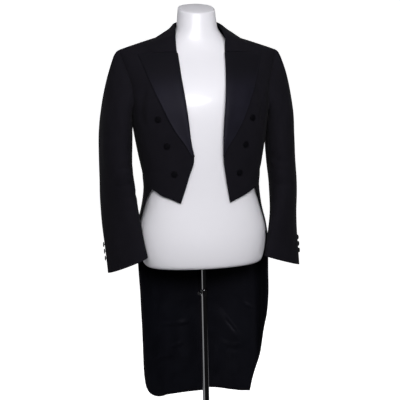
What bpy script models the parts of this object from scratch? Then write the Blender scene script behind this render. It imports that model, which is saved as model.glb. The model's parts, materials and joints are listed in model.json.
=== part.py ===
"""Evening tailcoat, worn open on a limbless dress form with a telescoping stand.

Metres, +Z up.  The coat's front faces -Y and the wearer's left is +X.  The origin is on the
floor, under the pole.  Every cloth piece is a thin closed wall on a grid of points.  The grids
come from two surfaces: the body and tails, whose level rings are given in COAT, and the
sleeves, whose sections are given in SLEEVE.
"""

import math

import bmesh
import bpy
import numpy as np
from mathutils import Vector

# ------------------------------------------------------------------ driving sizes
WOOL = 0.002            # wall of the coat's wool and canvas
SATIN = 0.002           # wall of the lapels
LINING = 0.001          # wall of the tail linings
GAP = 0.0003            # between neighbouring pieces
SEAM = 0.0002           # each edge's share of a seam, along the cloth
LEAF_LIFT = 0.0034      # outer face of a lapel or collar leaf above the panel below it

WAIST_LEVEL = 1.120     # waist seam, where the skirts are joined on
TOP_LEVEL = 1.572       # level of the shoulder seam, read at the neck
ARMHOLE_LOW = 1.325     # level of the armhole's lowest point
SLEEVE_COLUMNS = 20     # columns round a sleeve, and points round an armhole
SHOULDER_FALL = 1.15    # power of the shoulder's fall from the neck to the tip
RING_POWER = 0.8        # under 1 makes a ring fuller at the front and the back
NECK_X = 0.082          # where the shoulder seam meets the neckline
SIDE_DROP = {"left": 0.007, "right": 0.001}    # how much lower each side of the coat hangs
SLEEVE_DROP = {"left": 0.0115, "right": 0.0}
HEAD_ROLL = 0.75        # how far a sleeve's head rolls forward as it leaves the armhole
SHOULDER_REACH = {"left": 0.0065, "right": 0.0}  # how much further out a shoulder's tip lies

FORM_BOTTOM = 0.887
CLAMP_Z = 0.800         # middle of the clamp collar
CLAMP_HEIGHT = 0.016
CLAMP_RADIUS = 0.0125
UPPER_TUBE_RADIUS = 0.008
LOWER_TUBE_RADIUS = 0.0098
TUBE_WALL = 0.0014
TUBE_REACH = 0.380      # how far the upper tube runs down below the clamp
SCREW_TURN = 215.0      # direction of the thumb screw from +X, in degrees
SCREW_RADIUS = 0.0022
SCREW_HEAD_RADIUS = 0.0050
BASE_RADIUS = 0.180
BASE_THICKNESS = 0.006
BASE_BEVEL = 0.002

BUTTON_RADIUS = 0.0090
CUFF_BUTTON_RADIUS = 0.0072

# Level rings of the coat from the shoulder seam to the hem.  width is the half width, front
# and back are the depths from the middle line y = middle, and fall is how much lower the ring
# is at its side than at its centre.
COAT = {
    "level":  [0.420, 0.500, 0.600, 0.700, 0.800, 0.900, 0.960, 1.000, 1.030, 1.060, 1.100, 1.125,
               1.170, 1.220, 1.280, 1.340, 1.375, 1.410, 1.4485, 1.4867, 1.5211, 1.5484, 1.566, 1.572],
    "width":  [0.190, 0.191, 0.192, 0.1925, 0.193, 0.193, 0.1920, 0.1895, 0.1830, 0.1755, 0.1698, 0.1682,
               0.1728, 0.1815, 0.191, 0.199, 0.203, 0.2065, 0.210, 0.2145, 0.2185, 0.2215, 0.2225, 0.2225],
    "front":  [0.111, 0.111, 0.111, 0.111, 0.111, 0.111, 0.111, 0.111, 0.111, 0.110, 0.109, 0.109,
               0.112, 0.118, 0.124, 0.126, 0.122, 0.114, 0.102, 0.085, 0.065, 0.045, 0.022, 0.000],
    "back":   [0.130, 0.132, 0.135, 0.137, 0.137, 0.135, 0.132, 0.128, 0.122, 0.114, 0.104, 0.100,
               0.102, 0.108, 0.117, 0.124, 0.125, 0.122, 0.115, 0.102, 0.086, 0.066, 0.036, 0.000],
    "middle": [0.015, 0.014, 0.012, 0.010, 0.008, 0.006, 0.006, 0.006, 0.006, 0.006, 0.005, 0.004,
               0.004, 0.006, 0.009, 0.011, 0.013, 0.016, 0.021, 0.026, 0.030, 0.032, 0.032, 0.032],
    "fall":   [0.000, 0.000, 0.000, 0.000, 0.000, 0.000, 0.000, 0.000, 0.000, 0.000, 0.000, 0.000,
               0.000, 0.000, 0.000, 0.001, 0.006, 0.015, 0.028, 0.041, 0.052, 0.058, 0.061, 0.061],
}

# The forepart's front edge, from the hem point up past the break to the neck.
FRONT_EDGE = {
    "level": [1.079, 1.096, 1.130, 1.163, 1.206, 1.250, 1.316, 1.380, 1.450, 1.510, 1.550, 1.572],
    "right": [0.0765, 0.0710, 0.0600, 0.0505, 0.0383, 0.0465, 0.0535, 0.0605, 0.0665, 0.0680, 0.0735, NECK_X],
    "left":  [0.064, 0.061, 0.0555, 0.0505, 0.0450, 0.0455, 0.0490, 0.0555, 0.0620, 0.0670, 0.0740, NECK_X],
}

# The forepart's hem, from the point out to the corner where the skirt begins.
FRONT_HEM = {
    "right": {"x": [0.0765, 0.105, 0.127, 0.153, 0.180],
              "level": [1.0815, 1.0955, 1.1035, WAIST_LEVEL, WAIST_LEVEL]},
    "left":  {"x": [0.064, 0.093, 0.122, 0.150, 0.180],
              "level": [1.081, 1.0942, 1.1073, WAIST_LEVEL, WAIST_LEVEL]},
}

# Seams as ring angles in degrees from the centre front.
SIDE_FRONT_SEAM = {"level": [1.120, 1.200, 1.290, 1.3486], "angle": [70.0, 71.0, 74.0, 76.57]}
SIDE_BACK_SEAM = {
    "level": [0.450, 0.600, 0.800, 0.960, 1.060, 1.120, 1.180, 1.260, 1.340, 1.4103],
    "angle": [142.0, 146.0, 152.0, 158.0, 163.0, 166.0, 163.0, 151.0, 132.0, 112.54],
}
BACK_NECK = {"level": [1.548, 1.563, 1.572], "angle": [180.0, 163.5, 158.0]}

# Front edge of each skirt: the wearer's right hangs square to a rounded corner, and the left
# one swings back to a sharp one.
SKIRT_EDGE = {
    "level": [0.450, 0.500, 0.560, 0.640, 0.720, 0.800, 0.900, 0.960, 1.000, 1.030, 1.070, 1.100, 1.120],
    "right": [120.0, 110.0, 107.5, 107.0, 106.5, 104.5, 100.0, 95.0, 91.0, 87.0, 81.5, 75.0, 65.0],
    "left":  [130.0, 126.5, 118.5, 103.5, 90.0, 86.0, 86.0, 83.0, 77.5, 74.0, 71.5, 68.0, 62.5],
}
SKIRT_CORNER = {"right": 117.0, "left": 130.0}
HEM = {"angle": [113.0, 125.0, 136.0, 148.0, 162.0, 180.0],
       "right": [0.482, 0.462, 0.453, 0.450, 0.449, 0.449],
       "left":  [0.452, 0.452, 0.452, 0.453, 0.454, 0.455]}

# Lapel outline: the roll line and the outer edge at the same row.
LAPEL = {
    "roll_level":  [1.2150, 1.2260, 1.2430, 1.2650, 1.2920, 1.3230, 1.3560, 1.3900, 1.4250, 1.4600,
                    1.4890, 1.5100],
    "edge_x":      [0.0440, 0.0520, 0.0620, 0.0770, 0.0930, 0.1080, 0.1215, 0.1345, 0.1460, 0.1560,
                    0.1640, 0.1720],
    "edge_level":  [1.2165, 1.2310, 1.2490, 1.2700, 1.2970, 1.3270, 1.3600, 1.3950, 1.4330, 1.4730,
                    1.5060, 1.5360],
}
LAPEL_STAND = {"right": 0.0030, "left": 0.0008}     # how far an outer edge's middle springs up
NOTCH = {"x": 0.132, "level": 1.5270}
COLLAR_CORNER = {"x": 0.149, "level": 1.5560}

# Collar from the centre back round to the gorge.  The fold is the collar's top edge.
COLLAR = {
    "fold_x":   [0.0000, 0.0240, 0.0450, 0.0590, 0.0635, 0.0655, 0.0665, 0.0690, 0.0705, 0.0700],
    "fold_y":   [0.1000, 0.0960, 0.0830, 0.0620, 0.0480, 0.0330, 0.0120, -0.0110, -0.0290, -0.0430],
    "fold_z":   [1.5880, 1.5875, 1.5860, 1.5830, 1.5800, 1.5750, 1.5670, 1.5530, 1.5380, 1.5180],
    "neck_x":   [0.0000, 0.0300, 0.0540, 0.0720, 0.0770, 0.0790, 0.0785, 0.0770, 0.0745, 0.0720],
    "neck_y":   [0.1020, 0.0960, 0.0820, 0.0600, 0.0460, 0.0330, 0.0130, -0.0090, -0.0270, -0.0400],
    "neck_z":   [1.5510, 1.5520, 1.5540, 1.5565, 1.5580, 1.5585, 1.5540, 1.5430, 1.5290, 1.5120],
    "edge_x":   [0.0000, 0.0330, 0.0640, 0.0890, 0.1030, 0.1130, 0.1250, 0.1350, 0.1430, 0.1490],
    "edge_level": [1.5230, 1.5250, 1.5310, 1.5450, 1.5590, 1.5720, 1.5690, 1.5650, 1.5600, 1.5560],
    "edge_lift": [0.0034, 0.0034, 0.0034, 0.0044, 0.0050, 0.0036, 0.0034, 0.0034, 0.0034, 0.0034],
    "edge_back": [1, 1, 1, 1, 1, 0, 0, 0, 0, 0],
}
LEAF_BULGE = ((0.0, 0.0), (0.10, 0.0025), (0.34, 0.0005), (0.67, 0.0))     # (share, rise)
TAIL_SHIFT = 0.0055     # the tails hang a little to the wearer's left
LAP_OFFSET = 0.0070     # the left tail's centre edge lies outside the right one's
PLEAT_STEP = 0.0035     # the back's seam edge stands over the skirt as a pleat
LINING_INSET = 0.008
COLLAR_SHIFT = 0.003    # the collar sits a little to the wearer's left

# Sleeve sections from the upper arm to the cuff.  wide and thin are half sizes, and pitch raises
# a section's front, in degrees.
SLEEVE = {
    "x":     [0.2400, 0.2420, 0.2435, 0.2440, 0.2435, 0.2420, 0.2400, 0.2370, 0.2330, 0.2295],
    "y":     [0.0210, 0.0210, 0.0215, 0.0215, 0.0190, 0.0120, 0.0010, -0.0130, -0.0280, -0.0400],
    "z":     [1.3000, 1.2550, 1.2100, 1.1650, 1.1200, 1.0750, 1.0300, 0.9840, 0.9430, 0.9035],
    "wide":  [0.0730, 0.0725, 0.0720, 0.0715, 0.0705, 0.0695, 0.0685, 0.0675, 0.0665, 0.0660],
    "thin":  [0.0435, 0.0440, 0.0435, 0.0425, 0.0415, 0.0390, 0.0350, 0.0310, 0.0275, 0.0250],
    "pitch": [0.0, 0.0, 2.0, 5.0, 7.0, 9.0, 10.0, 8.0, 5.0, 2.0],
}
# Angle of a section's wide direction from +X towards the back, how much further out it hangs,
# and how far it leans down on its outer side, in degrees.
SLEEVE_TURN = {"right": [77.0, 74.5, 74.0, 72.0, 65.0, 57.0, 50.0, 45.5, 42.0, 36.5],
               "left":  [79.0, 79.0, 79.0, 77.5, 73.5, 66.5, 57.5, 46.0, 37.0, 28.0]}
SLEEVE_SHIFT = {"right": [0.0005, 0.001, 0.001, 0.0008, -0.001, -0.0015, -0.002, -0.003, -0.0032, -0.004],
                "left":  [-0.002, -0.004, -0.003, -0.0003, 0.003, 0.0035, 0.0025, 0.0, -0.001, -0.0025]}
SLEEVE_LEAN = {"right": [0.0, 0.0, 0.0, 0.0, 0.0, 1.0, 4.0, 10.0, 18.0, 24.4],
               "left":  [0.0, 0.0, 0.0, 0.0, 0.0, 1.0, 3.0, 8.0, 14.0, 19.0]}
CAP_STEPS = (0.0, 0.08, 0.22, 0.42, 0.62, 0.82)     # rows of a sleeve's cap, armhole to upper arm
UNDER_COLUMNS = 9       # columns of the under sleeve; the top sleeve has the rest

# Dress form: rings from the rim to the neck.  tilt raises the back of a ring over its front.
FORM = {
    "z":      [0.887, 0.8885, 0.893, 0.903, 0.930, 0.965, 1.000, 1.045, 1.090, 1.130, 1.175, 1.225,
               1.280, 1.335, 1.385, 1.425, 1.455, 1.480, 1.502, 1.520, 1.535, 1.5455, 1.556, 1.570,
               1.590, 1.613, 1.6195, 1.6220],
    "width":  [0.1590, 0.1655, 0.1710, 0.1765, 0.1825, 0.1855, 0.1835, 0.1720, 0.1590, 0.1540, 0.1560,
               0.1630, 0.1700, 0.1760, 0.1790, 0.1760, 0.1660, 0.1480, 0.1230, 0.0970, 0.0805, 0.0725,
               0.0645, 0.0582, 0.0555, 0.0530, 0.0520, 0.0503],
    "front":  [0.0880, 0.0930, 0.0975, 0.1010, 0.1045, 0.1050, 0.1030, 0.1000, 0.0980, 0.0980, 0.1000,
               0.1050, 0.1095, 0.1115, 0.1080, 0.0980, 0.0845, 0.0715, 0.0612, 0.0560, 0.0540, 0.0535,
               0.0530, 0.0525, 0.0520, 0.0510, 0.0502, 0.0486],
    "back":   [0.0960, 0.1010, 0.1060, 0.1100, 0.1150, 0.1180, 0.1150, 0.1050, 0.0950, 0.0910, 0.0920,
               0.0970, 0.1040, 0.1090, 0.1090, 0.1020, 0.0920, 0.0820, 0.0700, 0.0630, 0.0580, 0.0560,
               0.0550, 0.0540, 0.0530, 0.0515, 0.0507, 0.0490],
    "middle": [0.004, 0.004, 0.004, 0.004, 0.004, 0.004, 0.004, 0.004, 0.004, 0.004, 0.004, 0.006, 0.009,
               0.011, 0.014, 0.018, 0.021, 0.024, 0.026, 0.027, 0.028, 0.028, 0.028, 0.028, 0.028, 0.028,
               0.028, 0.028],
    "tilt":   [0.0] * 22 + [0.02, 0.06, 0.14, 0.25, 0.285, 0.29],
}
FORM_COLUMNS = 32
SOCKET_DEPTH = 0.090


# ------------------------------------------------------------------ scene and materials
def clear_scene():
    for old in list(bpy.data.objects):
        bpy.data.objects.remove(old, do_unlink=True)


def new_collection(name):
    collection = bpy.data.collections.new(name)
    bpy.context.scene.collection.children.link(collection)
    return collection


def finish_material(name, colour, roughness, metallic=0.0):
    material = bpy.data.materials.new(name)
    material.use_nodes = True
    shader = material.node_tree.nodes["Principled BSDF"]
    shader.inputs["Base Color"].default_value = (*colour, 1.0)
    shader.inputs["Roughness"].default_value = roughness
    shader.inputs["Metallic"].default_value = metallic
    return material


def add_object(name, mesh, material, collection):
    mesh.materials.clear()
    mesh.materials.append(material)
    piece = bpy.data.objects.new(name, mesh)
    collection.objects.link(piece)
    return piece


# ------------------------------------------------------------------ curves through tables
def curve(table, key, value, at="level"):
    """Smooth curve through a table's column, without overshoot, at one value."""
    xs, ys = table[at], table[key]
    value = min(max(value, min(xs)), max(xs))
    span = next(i for i in range(len(xs) - 1) if value <= xs[i + 1] or i == len(xs) - 2)
    slopes = [(ys[i + 1] - ys[i]) / (xs[i + 1] - xs[i]) for i in range(len(xs) - 1)]

    def tangent(i):
        if i in (0, len(xs) - 1):
            return slopes[min(i, len(slopes) - 1)]
        before, after = slopes[i - 1], slopes[i]
        return 0.0 if before * after <= 0 else 2 * before * after / (before + after)

    width = xs[span + 1] - xs[span]
    t = (value - xs[span]) / width
    rise = ys[span + 1] - ys[span]
    start, end = tangent(span) * width, tangent(span + 1) * width
    return ys[span] + t * (start + t * (3 * rise - 2 * start - end + t * (start + end - 2 * rise)))


def unit(vector):
    return vector / np.linalg.norm(vector)


def ring_point(angle, width, front, back, middle):
    """Point of a level ring in plan, at an angle in degrees from the centre front."""
    turn = math.radians(angle)
    depth = abs(math.cos(turn)) ** RING_POWER
    side = -front if math.cos(turn) > 0 else back
    return width * math.sin(turn), middle + side * depth


# ------------------------------------------------------------------ the coat's body surface
def tail_wave(side, angle, level):
    """Soft flutes of a hanging tail, growing from the hips to the hem."""
    drop = max(0.0, (0.960 - level) / 0.500)
    reach = math.radians(angle - 180.0)
    if side == "left":
        return 0.009 * drop * math.sin(5.6 * reach + 0.8) * math.sin(1.2 * reach) ** 2 * 2.0
    return 0.007 * drop * math.sin(4.2 * reach + 2.2) * math.sin(1.1 * reach) ** 2 * 2.0


def coat_point(side, angle, level):
    """Outer point of the coat on the wearer's left, which the caller mirrors for the right."""
    width, front, back, middle, fall = (
        curve(COAT, key, level) for key in ("width", "front", "back", "middle", "fall"))
    x, y = ring_point(angle, width, front, back, middle)
    x += SHOULDER_REACH[side] * (x / width) ** 2 * min(1.0, max(0.0, (level - 1.40) / 0.10))
    z = level - fall * abs(x / width) ** SHOULDER_FALL - SIDE_DROP[side] * x / width
    shift = TAIL_SHIFT * min(1.0, max(0.0, (1.000 - level) / 0.2))
    x += shift if side == "left" else -shift
    if level < 0.960:
        wave = tail_wave(side, angle, level)
        outward = unit(np.array([x, 1.4 * (y - middle)]))
        x, y = x + wave * outward[0], y + wave * outward[1]
    return np.array([x, y, z])


def coat_normal(side, angle, level):
    step = 0.6
    ahead, behind = min(angle + step, 180.0), max(angle - step, 0.0)
    along = coat_point(side, ahead, level) - coat_point(side, behind, level)
    if level > TOP_LEVEL - 0.001:
        if abs(along[0]) < 0.0005:
            along = np.array([1.0, 0.0, -0.33])
        normal = np.cross(along, np.array([0.0, 1.0, 0.0]))
        return unit(normal if normal[2] > 0 else -normal)
    lower, upper = max(level - 0.002, COAT["level"][0]), min(level + 0.002, TOP_LEVEL)
    rise = coat_point(side, angle, upper) - coat_point(side, angle, lower)
    normal = np.cross(along, rise)
    if angle > 179.9:
        normal[0] = 0.0
    return unit(normal)


def angle_at(x, level):
    """Front angle of the coat's ring where it reaches x."""
    return math.degrees(math.asin(min(1.0, x / curve(COAT, "width", level))))


def armhole(column):
    """Angle and level of an armhole point: column 15 is the shoulder, 0 the back, 5 the armpit."""
    turn = 2 * math.pi * column / SLEEVE_COLUMNS
    middle = (TOP_LEVEL + ARMHOLE_LOW) / 2
    level = middle - (TOP_LEVEL - ARMHOLE_LOW) / 2 * math.sin(turn)
    reach = 22.0 if math.cos(turn) > 0 else 19.0
    return 90.0 + reach * math.cos(turn) * (1.0 + 0.25 * math.sin(turn)), level


def surface_grid(side, plan):
    """Outer points and inward directions for a plan: rows of (angle, level) pairs."""
    points = np.array([[coat_point(side, *place) for place in row] for row in plan])
    inward = np.array([[-coat_normal(side, *place) for place in row] for row in plan])
    return points, inward


def blend_rows(first, last, count):
    """Plan row of count + 1 places between two (angle, level) ends."""
    return [tuple(np.array(first) + (np.array(last) - np.array(first)) * i / count)
            for i in range(count + 1)]


# ------------------------------------------------------------------ walls from grids
def trim_edges(points, edges):
    """Pull the named edges of a grid back along the cloth, by a seam's share."""
    trimmed = points.copy()
    pairs = {"bottom": (np.s_[0], np.s_[1]), "top": (np.s_[-1], np.s_[-2]),
             "inner": (np.s_[:, 0], np.s_[:, 1]), "outer": (np.s_[:, -1], np.s_[:, -2])}
    for edge in edges:
        rim, next_to = pairs[edge]
        step = points[next_to] - points[rim]
        trimmed[rim] = trimmed[rim] + SEAM * step / np.linalg.norm(step, axis=-1, keepdims=True)
    return trimmed


def wall_mesh(name, points, inward, thickness, mirrored):
    """Closed wall between a grid of outer points and the same grid moved inward."""
    outer = points.copy()
    inner = points + inward * thickness
    if mirrored:
        outer[..., 0] *= -1
        inner[..., 0] *= -1
    rows, columns = points.shape[:2]
    bm = bmesh.new()
    sheets = [[[bm.verts.new(p) for p in row] for row in sheet] for sheet in (outer, inner)]
    for front in sheets:
        for i in range(rows - 1):
            for j in range(columns - 1):
                bm.faces.new((front[i][j], front[i][j + 1], front[i + 1][j + 1], front[i + 1][j]))
    rim = [(0, j) for j in range(columns)] + [(i, columns - 1) for i in range(1, rows)]
    rim += [(rows - 1, j) for j in range(columns - 2, -1, -1)] + [(i, 0) for i in range(rows - 2, 0, -1)]
    face, back = sheets
    for (i, j), (k, m) in zip(rim, rim[1:] + rim[:1]):
        bm.faces.new((face[i][j], face[k][m], back[k][m], back[i][j]))
    bmesh.ops.triangulate(bm, faces=bm.faces, quad_method="FIXED")
    bmesh.ops.recalc_face_normals(bm, faces=bm.faces)
    mesh = bpy.data.meshes.new(name)
    bm.to_mesh(mesh)
    bm.free()
    return mesh


def cloth(name, side, points, inward, thickness, material, collection):
    mesh = wall_mesh(name, points, inward, thickness, side == "right")
    return add_object(name, mesh, material, collection)


# ------------------------------------------------------------------ sleeves
def sleeve_section(side, row, column):
    """Point of a sleeve section, and its outward direction."""
    turn = math.radians(SLEEVE_TURN[side][row])
    pitch, lean = math.radians(SLEEVE["pitch"][row]), math.radians(SLEEVE_LEAN[side][row])
    wide, thin = SLEEVE["wide"][row], SLEEVE["thin"][row]
    round_angle = 2 * math.pi * column / SLEEVE_COLUMNS
    along = np.array([math.cos(turn), math.sin(turn), 0.0])
    across = np.array([-math.sin(turn), math.cos(turn), 0.0])
    flat = wide * math.cos(round_angle) * along + thin * math.sin(round_angle) * across
    outward = math.cos(round_angle) / wide * along + math.sin(round_angle) / thin * across
    flat[2] = -flat[1] * math.tan(pitch) - flat[0] * math.tan(lean)
    x = SLEEVE["x"][row] + SLEEVE_SHIFT[side][row]
    centre = np.array([x, SLEEVE["y"][row], SLEEVE["z"][row] - SLEEVE_DROP[side]])
    return centre + flat, unit(outward)


def sleeve_start(side, column):
    """Armhole point that a sleeve column leaves from, and the direction it leaves in."""
    angle, level = armhole(column)
    start = coat_point(side, angle, level)
    round_angle = 2 * math.pi * column / SLEEVE_COLUMNS
    up, behind = -math.sin(round_angle), math.cos(round_angle)
    sideways = 0.28 * behind if behind > 0 else HEAD_ROLL * behind
    outward = np.array([1.0, sideways, -0.19 - 0.5 * max(0.0, -up)])
    return start, unit(outward)


def sleeve_fibre(side, column):
    """Points of one lengthwise column, from the armhole to the cuff."""
    start, leave = sleeve_start(side, column)
    end = sleeve_section(side, 0, column)[0]
    down = unit(sleeve_section(side, 1, column)[0] - end)
    reach = float(np.linalg.norm(end - start))
    pull = 0.30 * reach + 0.020
    points = []
    for t in CAP_STEPS:
        from_start, from_end = (1 + 2 * t) * (1 - t) ** 2, t * t * (3 - 2 * t)
        leaving, arriving = t * (1 - t) ** 2, t * t * (t - 1)
        points.append(from_start * start + leaving * pull * leave
                      + from_end * end + arriving * 0.75 * reach * down)
    points[0] = start + GAP * leave
    points += [sleeve_section(side, row, column)[0] for row in range(len(SLEEVE["z"]))]
    return points


def sleeve_grid(side):
    """Outer points and inward directions of a whole sleeve, closed round."""
    points = np.array([sleeve_fibre(side, column) for column in range(SLEEVE_COLUMNS)])
    points = points.transpose(1, 0, 2)
    around = np.roll(points, -1, axis=1) - np.roll(points, 1, axis=1)
    down = np.gradient(points, axis=0)
    normal = np.cross(down, around)
    normal /= np.linalg.norm(normal, axis=-1, keepdims=True)
    centre = points.mean(axis=1, keepdims=True)
    flip = np.sign(np.sum(normal * (points - centre), axis=-1).mean())
    return points, -normal * flip


def armhole_normals(side):
    """Inward directions shared by the body and the sleeve where they meet without a sharp fold."""
    _, inward = sleeve_grid(side)
    shared = []
    for column in range(SLEEVE_COLUMNS):
        body = -coat_normal(side, *armhole(column))
        sleeve = inward[0][column]
        if float(np.dot(body, sleeve)) > 0.3:
            body = sleeve = unit(body + sleeve)
        shared.append((body, sleeve))
    return shared


def build_sleeves(side, material, collection):
    points, inward = sleeve_grid(side)
    for column, (_, sleeve) in enumerate(armhole_normals(side)):
        inward[0][column] = sleeve
    pieces = {"under_sleeve": range(0, UNDER_COLUMNS + 1),
              "top_sleeve": range(UNDER_COLUMNS, SLEEVE_COLUMNS + 1)}
    for piece, columns in pieces.items():
        picked = [column % SLEEVE_COLUMNS for column in columns]
        grid = trim_edges(points[:, picked], ("inner", "outer"))
        cloth(f"{piece}_{side}", side, grid, inward[:, picked], WOOL, material, collection)


# ------------------------------------------------------------------ body panels
def front_edge(side, level):
    """Angle and level of the front edge."""
    return angle_at(curve(FRONT_EDGE, side, level), level), level


def forepart_plan(side):
    """Rows from the hem to the shoulder, each from the front edge to the side seam or armhole."""
    columns = 8
    side_angle = SIDE_FRONT_SEAM["angle"][0]
    side_x = curve(COAT, "width", WAIST_LEVEL) * math.sin(math.radians(side_angle))
    point_x, corner_x = FRONT_HEM[side]["x"][0], FRONT_HEM[side]["x"][-2]
    hem_x = list(np.linspace(point_x, corner_x, columns)) + [side_x]
    hem = []
    for x in hem_x:
        level = curve(FRONT_HEM[side], "level", x, at="x")
        hem.append((angle_at(x, level), level))
    hem[-1] = (side_angle, WAIST_LEVEL)
    rows = [hem]
    side_levels = [1.160, 1.200, 1.245, 1.290, 1.320]
    edge_levels = [1.128, 1.167, 1.206, 1.258, 1.302]
    for edge_level, side_level in zip(edge_levels, side_levels):
        seam = (curve(SIDE_FRONT_SEAM, "angle", side_level), side_level)
        rows.append(blend_rows(front_edge(side, edge_level), seam, columns))
    for column in range(7, 16):
        angle, level = armhole(column)
        rows.append(blend_rows(front_edge(side, level), (angle, level), columns))
    return rows


def build_forepart(side, material, collection):
    points, inward = surface_grid(side, forepart_plan(side))
    for row, column in enumerate(range(7, 16)):
        inward[6 + row, -1] = armhole_normals(side)[column][0]
    points = trim_edges(points, ("outer", "top"))
    points[:, 0] += GAP * unit_rows(points[:, 1] - points[:, 0])
    return cloth(f"forepart_{side}", side, points, inward, WOOL, material, collection)


def unit_rows(vectors):
    return vectors / np.linalg.norm(vectors, axis=-1, keepdims=True)


def seam_share(angle, level):
    """How far a place lies from the side-front seam towards the side-back seam."""
    front, back = curve(SIDE_FRONT_SEAM, "angle", level), curve(SIDE_BACK_SEAM, "angle", level)
    return (angle - front) / (back - front)


def side_body_plan():
    """Rows from the waist seam to the armhole's lower edge, each from front to back."""
    rows, columns = 7, 6
    front_levels = [WAIST_LEVEL, 1.160, 1.200, 1.245, 1.290, 1.320, 1.335, armhole(7)[1]]
    plan = []
    for i in range(rows + 1):
        row = []
        for j in range(columns + 1):
            top_angle, top_level = armhole(7 - j)
            rise = (front_levels[i] - WAIST_LEVEL) / (front_levels[-1] - WAIST_LEVEL)
            level = WAIST_LEVEL + (top_level - WAIST_LEVEL) * rise
            share = j / columns + (seam_share(top_angle, top_level) - j / columns) * rise
            front, back = curve(SIDE_FRONT_SEAM, "angle", level), curve(SIDE_BACK_SEAM, "angle", level)
            row.append((front + (back - front) * share, level))
        plan.append(row)
    return plan


def build_side_body(side, material, collection):
    points, inward = surface_grid(side, side_body_plan())
    for j in range(7):
        inward[-1, j] = armhole_normals(side)[7 - j][0]
    points = trim_edges(points, ("bottom", "inner", "outer"))
    return cloth(f"side_body_{side}", side, points, inward, WOOL, material, collection)


TAIL_LEVELS = [0.450, 0.510, 0.580, 0.650, 0.720, 0.790, 0.860, 0.920, 0.970, 1.010, 1.050, 1.085]


def hem_row(side, row):
    """The same angles along the hem's curve."""
    return [(angle, curve(HEM, side, angle, at="angle")) for angle, _ in row]


def back_plan(side):
    """Rows from the tail hem to the shoulder, each from the centre to the side-back seam."""
    columns = 6
    rows = []
    for level in TAIL_LEVELS + [plan_row[-1][1] for plan_row in side_body_plan()]:
        rows.append(blend_rows((180.0, level), (curve(SIDE_BACK_SEAM, "angle", level), level), columns))
    rows[0] = hem_row(side, rows[0])
    for column in (0, 19, 18, 17, 16, 15):
        angle, level = armhole(column)
        inner = (180.0, level)
        if column in (16, 15):
            inner = (BACK_NECK["angle"][17 - column], BACK_NECK["level"][17 - column])
        rows.append(blend_rows(inner, (angle, level), columns))
    return rows


def hang_at_vent(side, points, plan, near_centre):
    """Shift the tails' inner edges: they lap below the waist and part towards the hem."""
    for i, row in enumerate(plan):
        drop = max(0.0, 1.060 - row[0][1])
        apart = 0.008 * min(1.0, drop / 0.05)
        if side == "left":
            apart -= 0.075 * max(0.0, drop - 0.15)
            points[i, :, 1] += LAP_OFFSET * min(1.0, max(0.0, (1.100 - row[0][1]) / 0.05)) * near_centre
        else:
            apart += 0.014 * max(0.0, drop - 0.15)
        points[i, :, 0] -= apart * near_centre
    return points


def build_back(side, material, collection):
    plan = back_plan(side)
    points, inward = surface_grid(side, plan)
    for row, column in zip(range(len(plan) - 7, len(plan)), (1, 0, 19, 18, 17, 16, 15)):
        inward[row, -1] = armhole_normals(side)[column][0]
    points = hang_at_vent(side, points, plan, np.linspace(1.0, 0.0, points.shape[1]))
    for i, row in enumerate(plan):
        pleat = PLEAT_STEP * min(1.0, max(0.0, (WAIST_LEVEL - row[0][1]) / 0.035))
        points[i, -1] -= pleat * inward[i, -1]
        points[i, -2] -= 0.5 * pleat * inward[i, -2]
    points = trim_edges(points, ("inner", "outer", "top"))
    return cloth(f"back_{side}", side, points, inward, WOOL, material, collection)


def skirt_plan(side):
    """Rows from the hem to the waist seam, each from the front edge back to the side-back seam."""
    columns = 8
    rows = []
    for level in TAIL_LEVELS + [WAIST_LEVEL]:
        edge = (curve(SKIRT_EDGE, side, level), level)
        seam = (curve(SIDE_BACK_SEAM, "angle", level), level)
        rows.append(blend_rows(edge, seam, columns))
    corner = (SKIRT_CORNER[side], TAIL_LEVELS[0])
    rows[0] = hem_row(side, blend_rows(corner, rows[0][-1], columns))
    return rows


def build_skirt(side, material, collection):
    plan = skirt_plan(side)
    plan[-1] = [(angle, level - 0.0006) for angle, level in plan[-1]]
    points, inward = surface_grid(side, plan)
    points = trim_edges(points, ("outer",))
    return cloth(f"skirt_{side}", side, points, inward, WOOL, material, collection)


def build_tail_lining(side, material, collection):
    """Satin inside a tail, on the skirt's and the back's own points moved inward."""
    skirt, back = skirt_plan(side)[:-1], back_plan(side)
    plan = [front + rear[-2::-1] for front, rear in zip(skirt, back)]
    points, inward = surface_grid(side, plan)
    back_columns = len(back[0])
    near_centre = np.concatenate([np.zeros(points.shape[1] - back_columns),
                                  np.linspace(0.0, 1.0, back_columns)])
    points = hang_at_vent(side, points, plan, near_centre)
    points += inward * (WOOL + 3 * GAP)
    for rim, next_to in ((np.s_[0], np.s_[1]), (np.s_[:, 0], np.s_[:, 1]), (np.s_[:, -1], np.s_[:, -2])):
        points[rim] += LINING_INSET * unit_rows(points[next_to] - points[rim])
    return cloth(f"tail_lining_{side}", side, points, inward, LINING, material, collection)


# ------------------------------------------------------------------ lapels and collar
def lifted(side, angle, level, lift):
    return coat_point(side, angle, level) + coat_normal(side, angle, level) * lift


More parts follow.
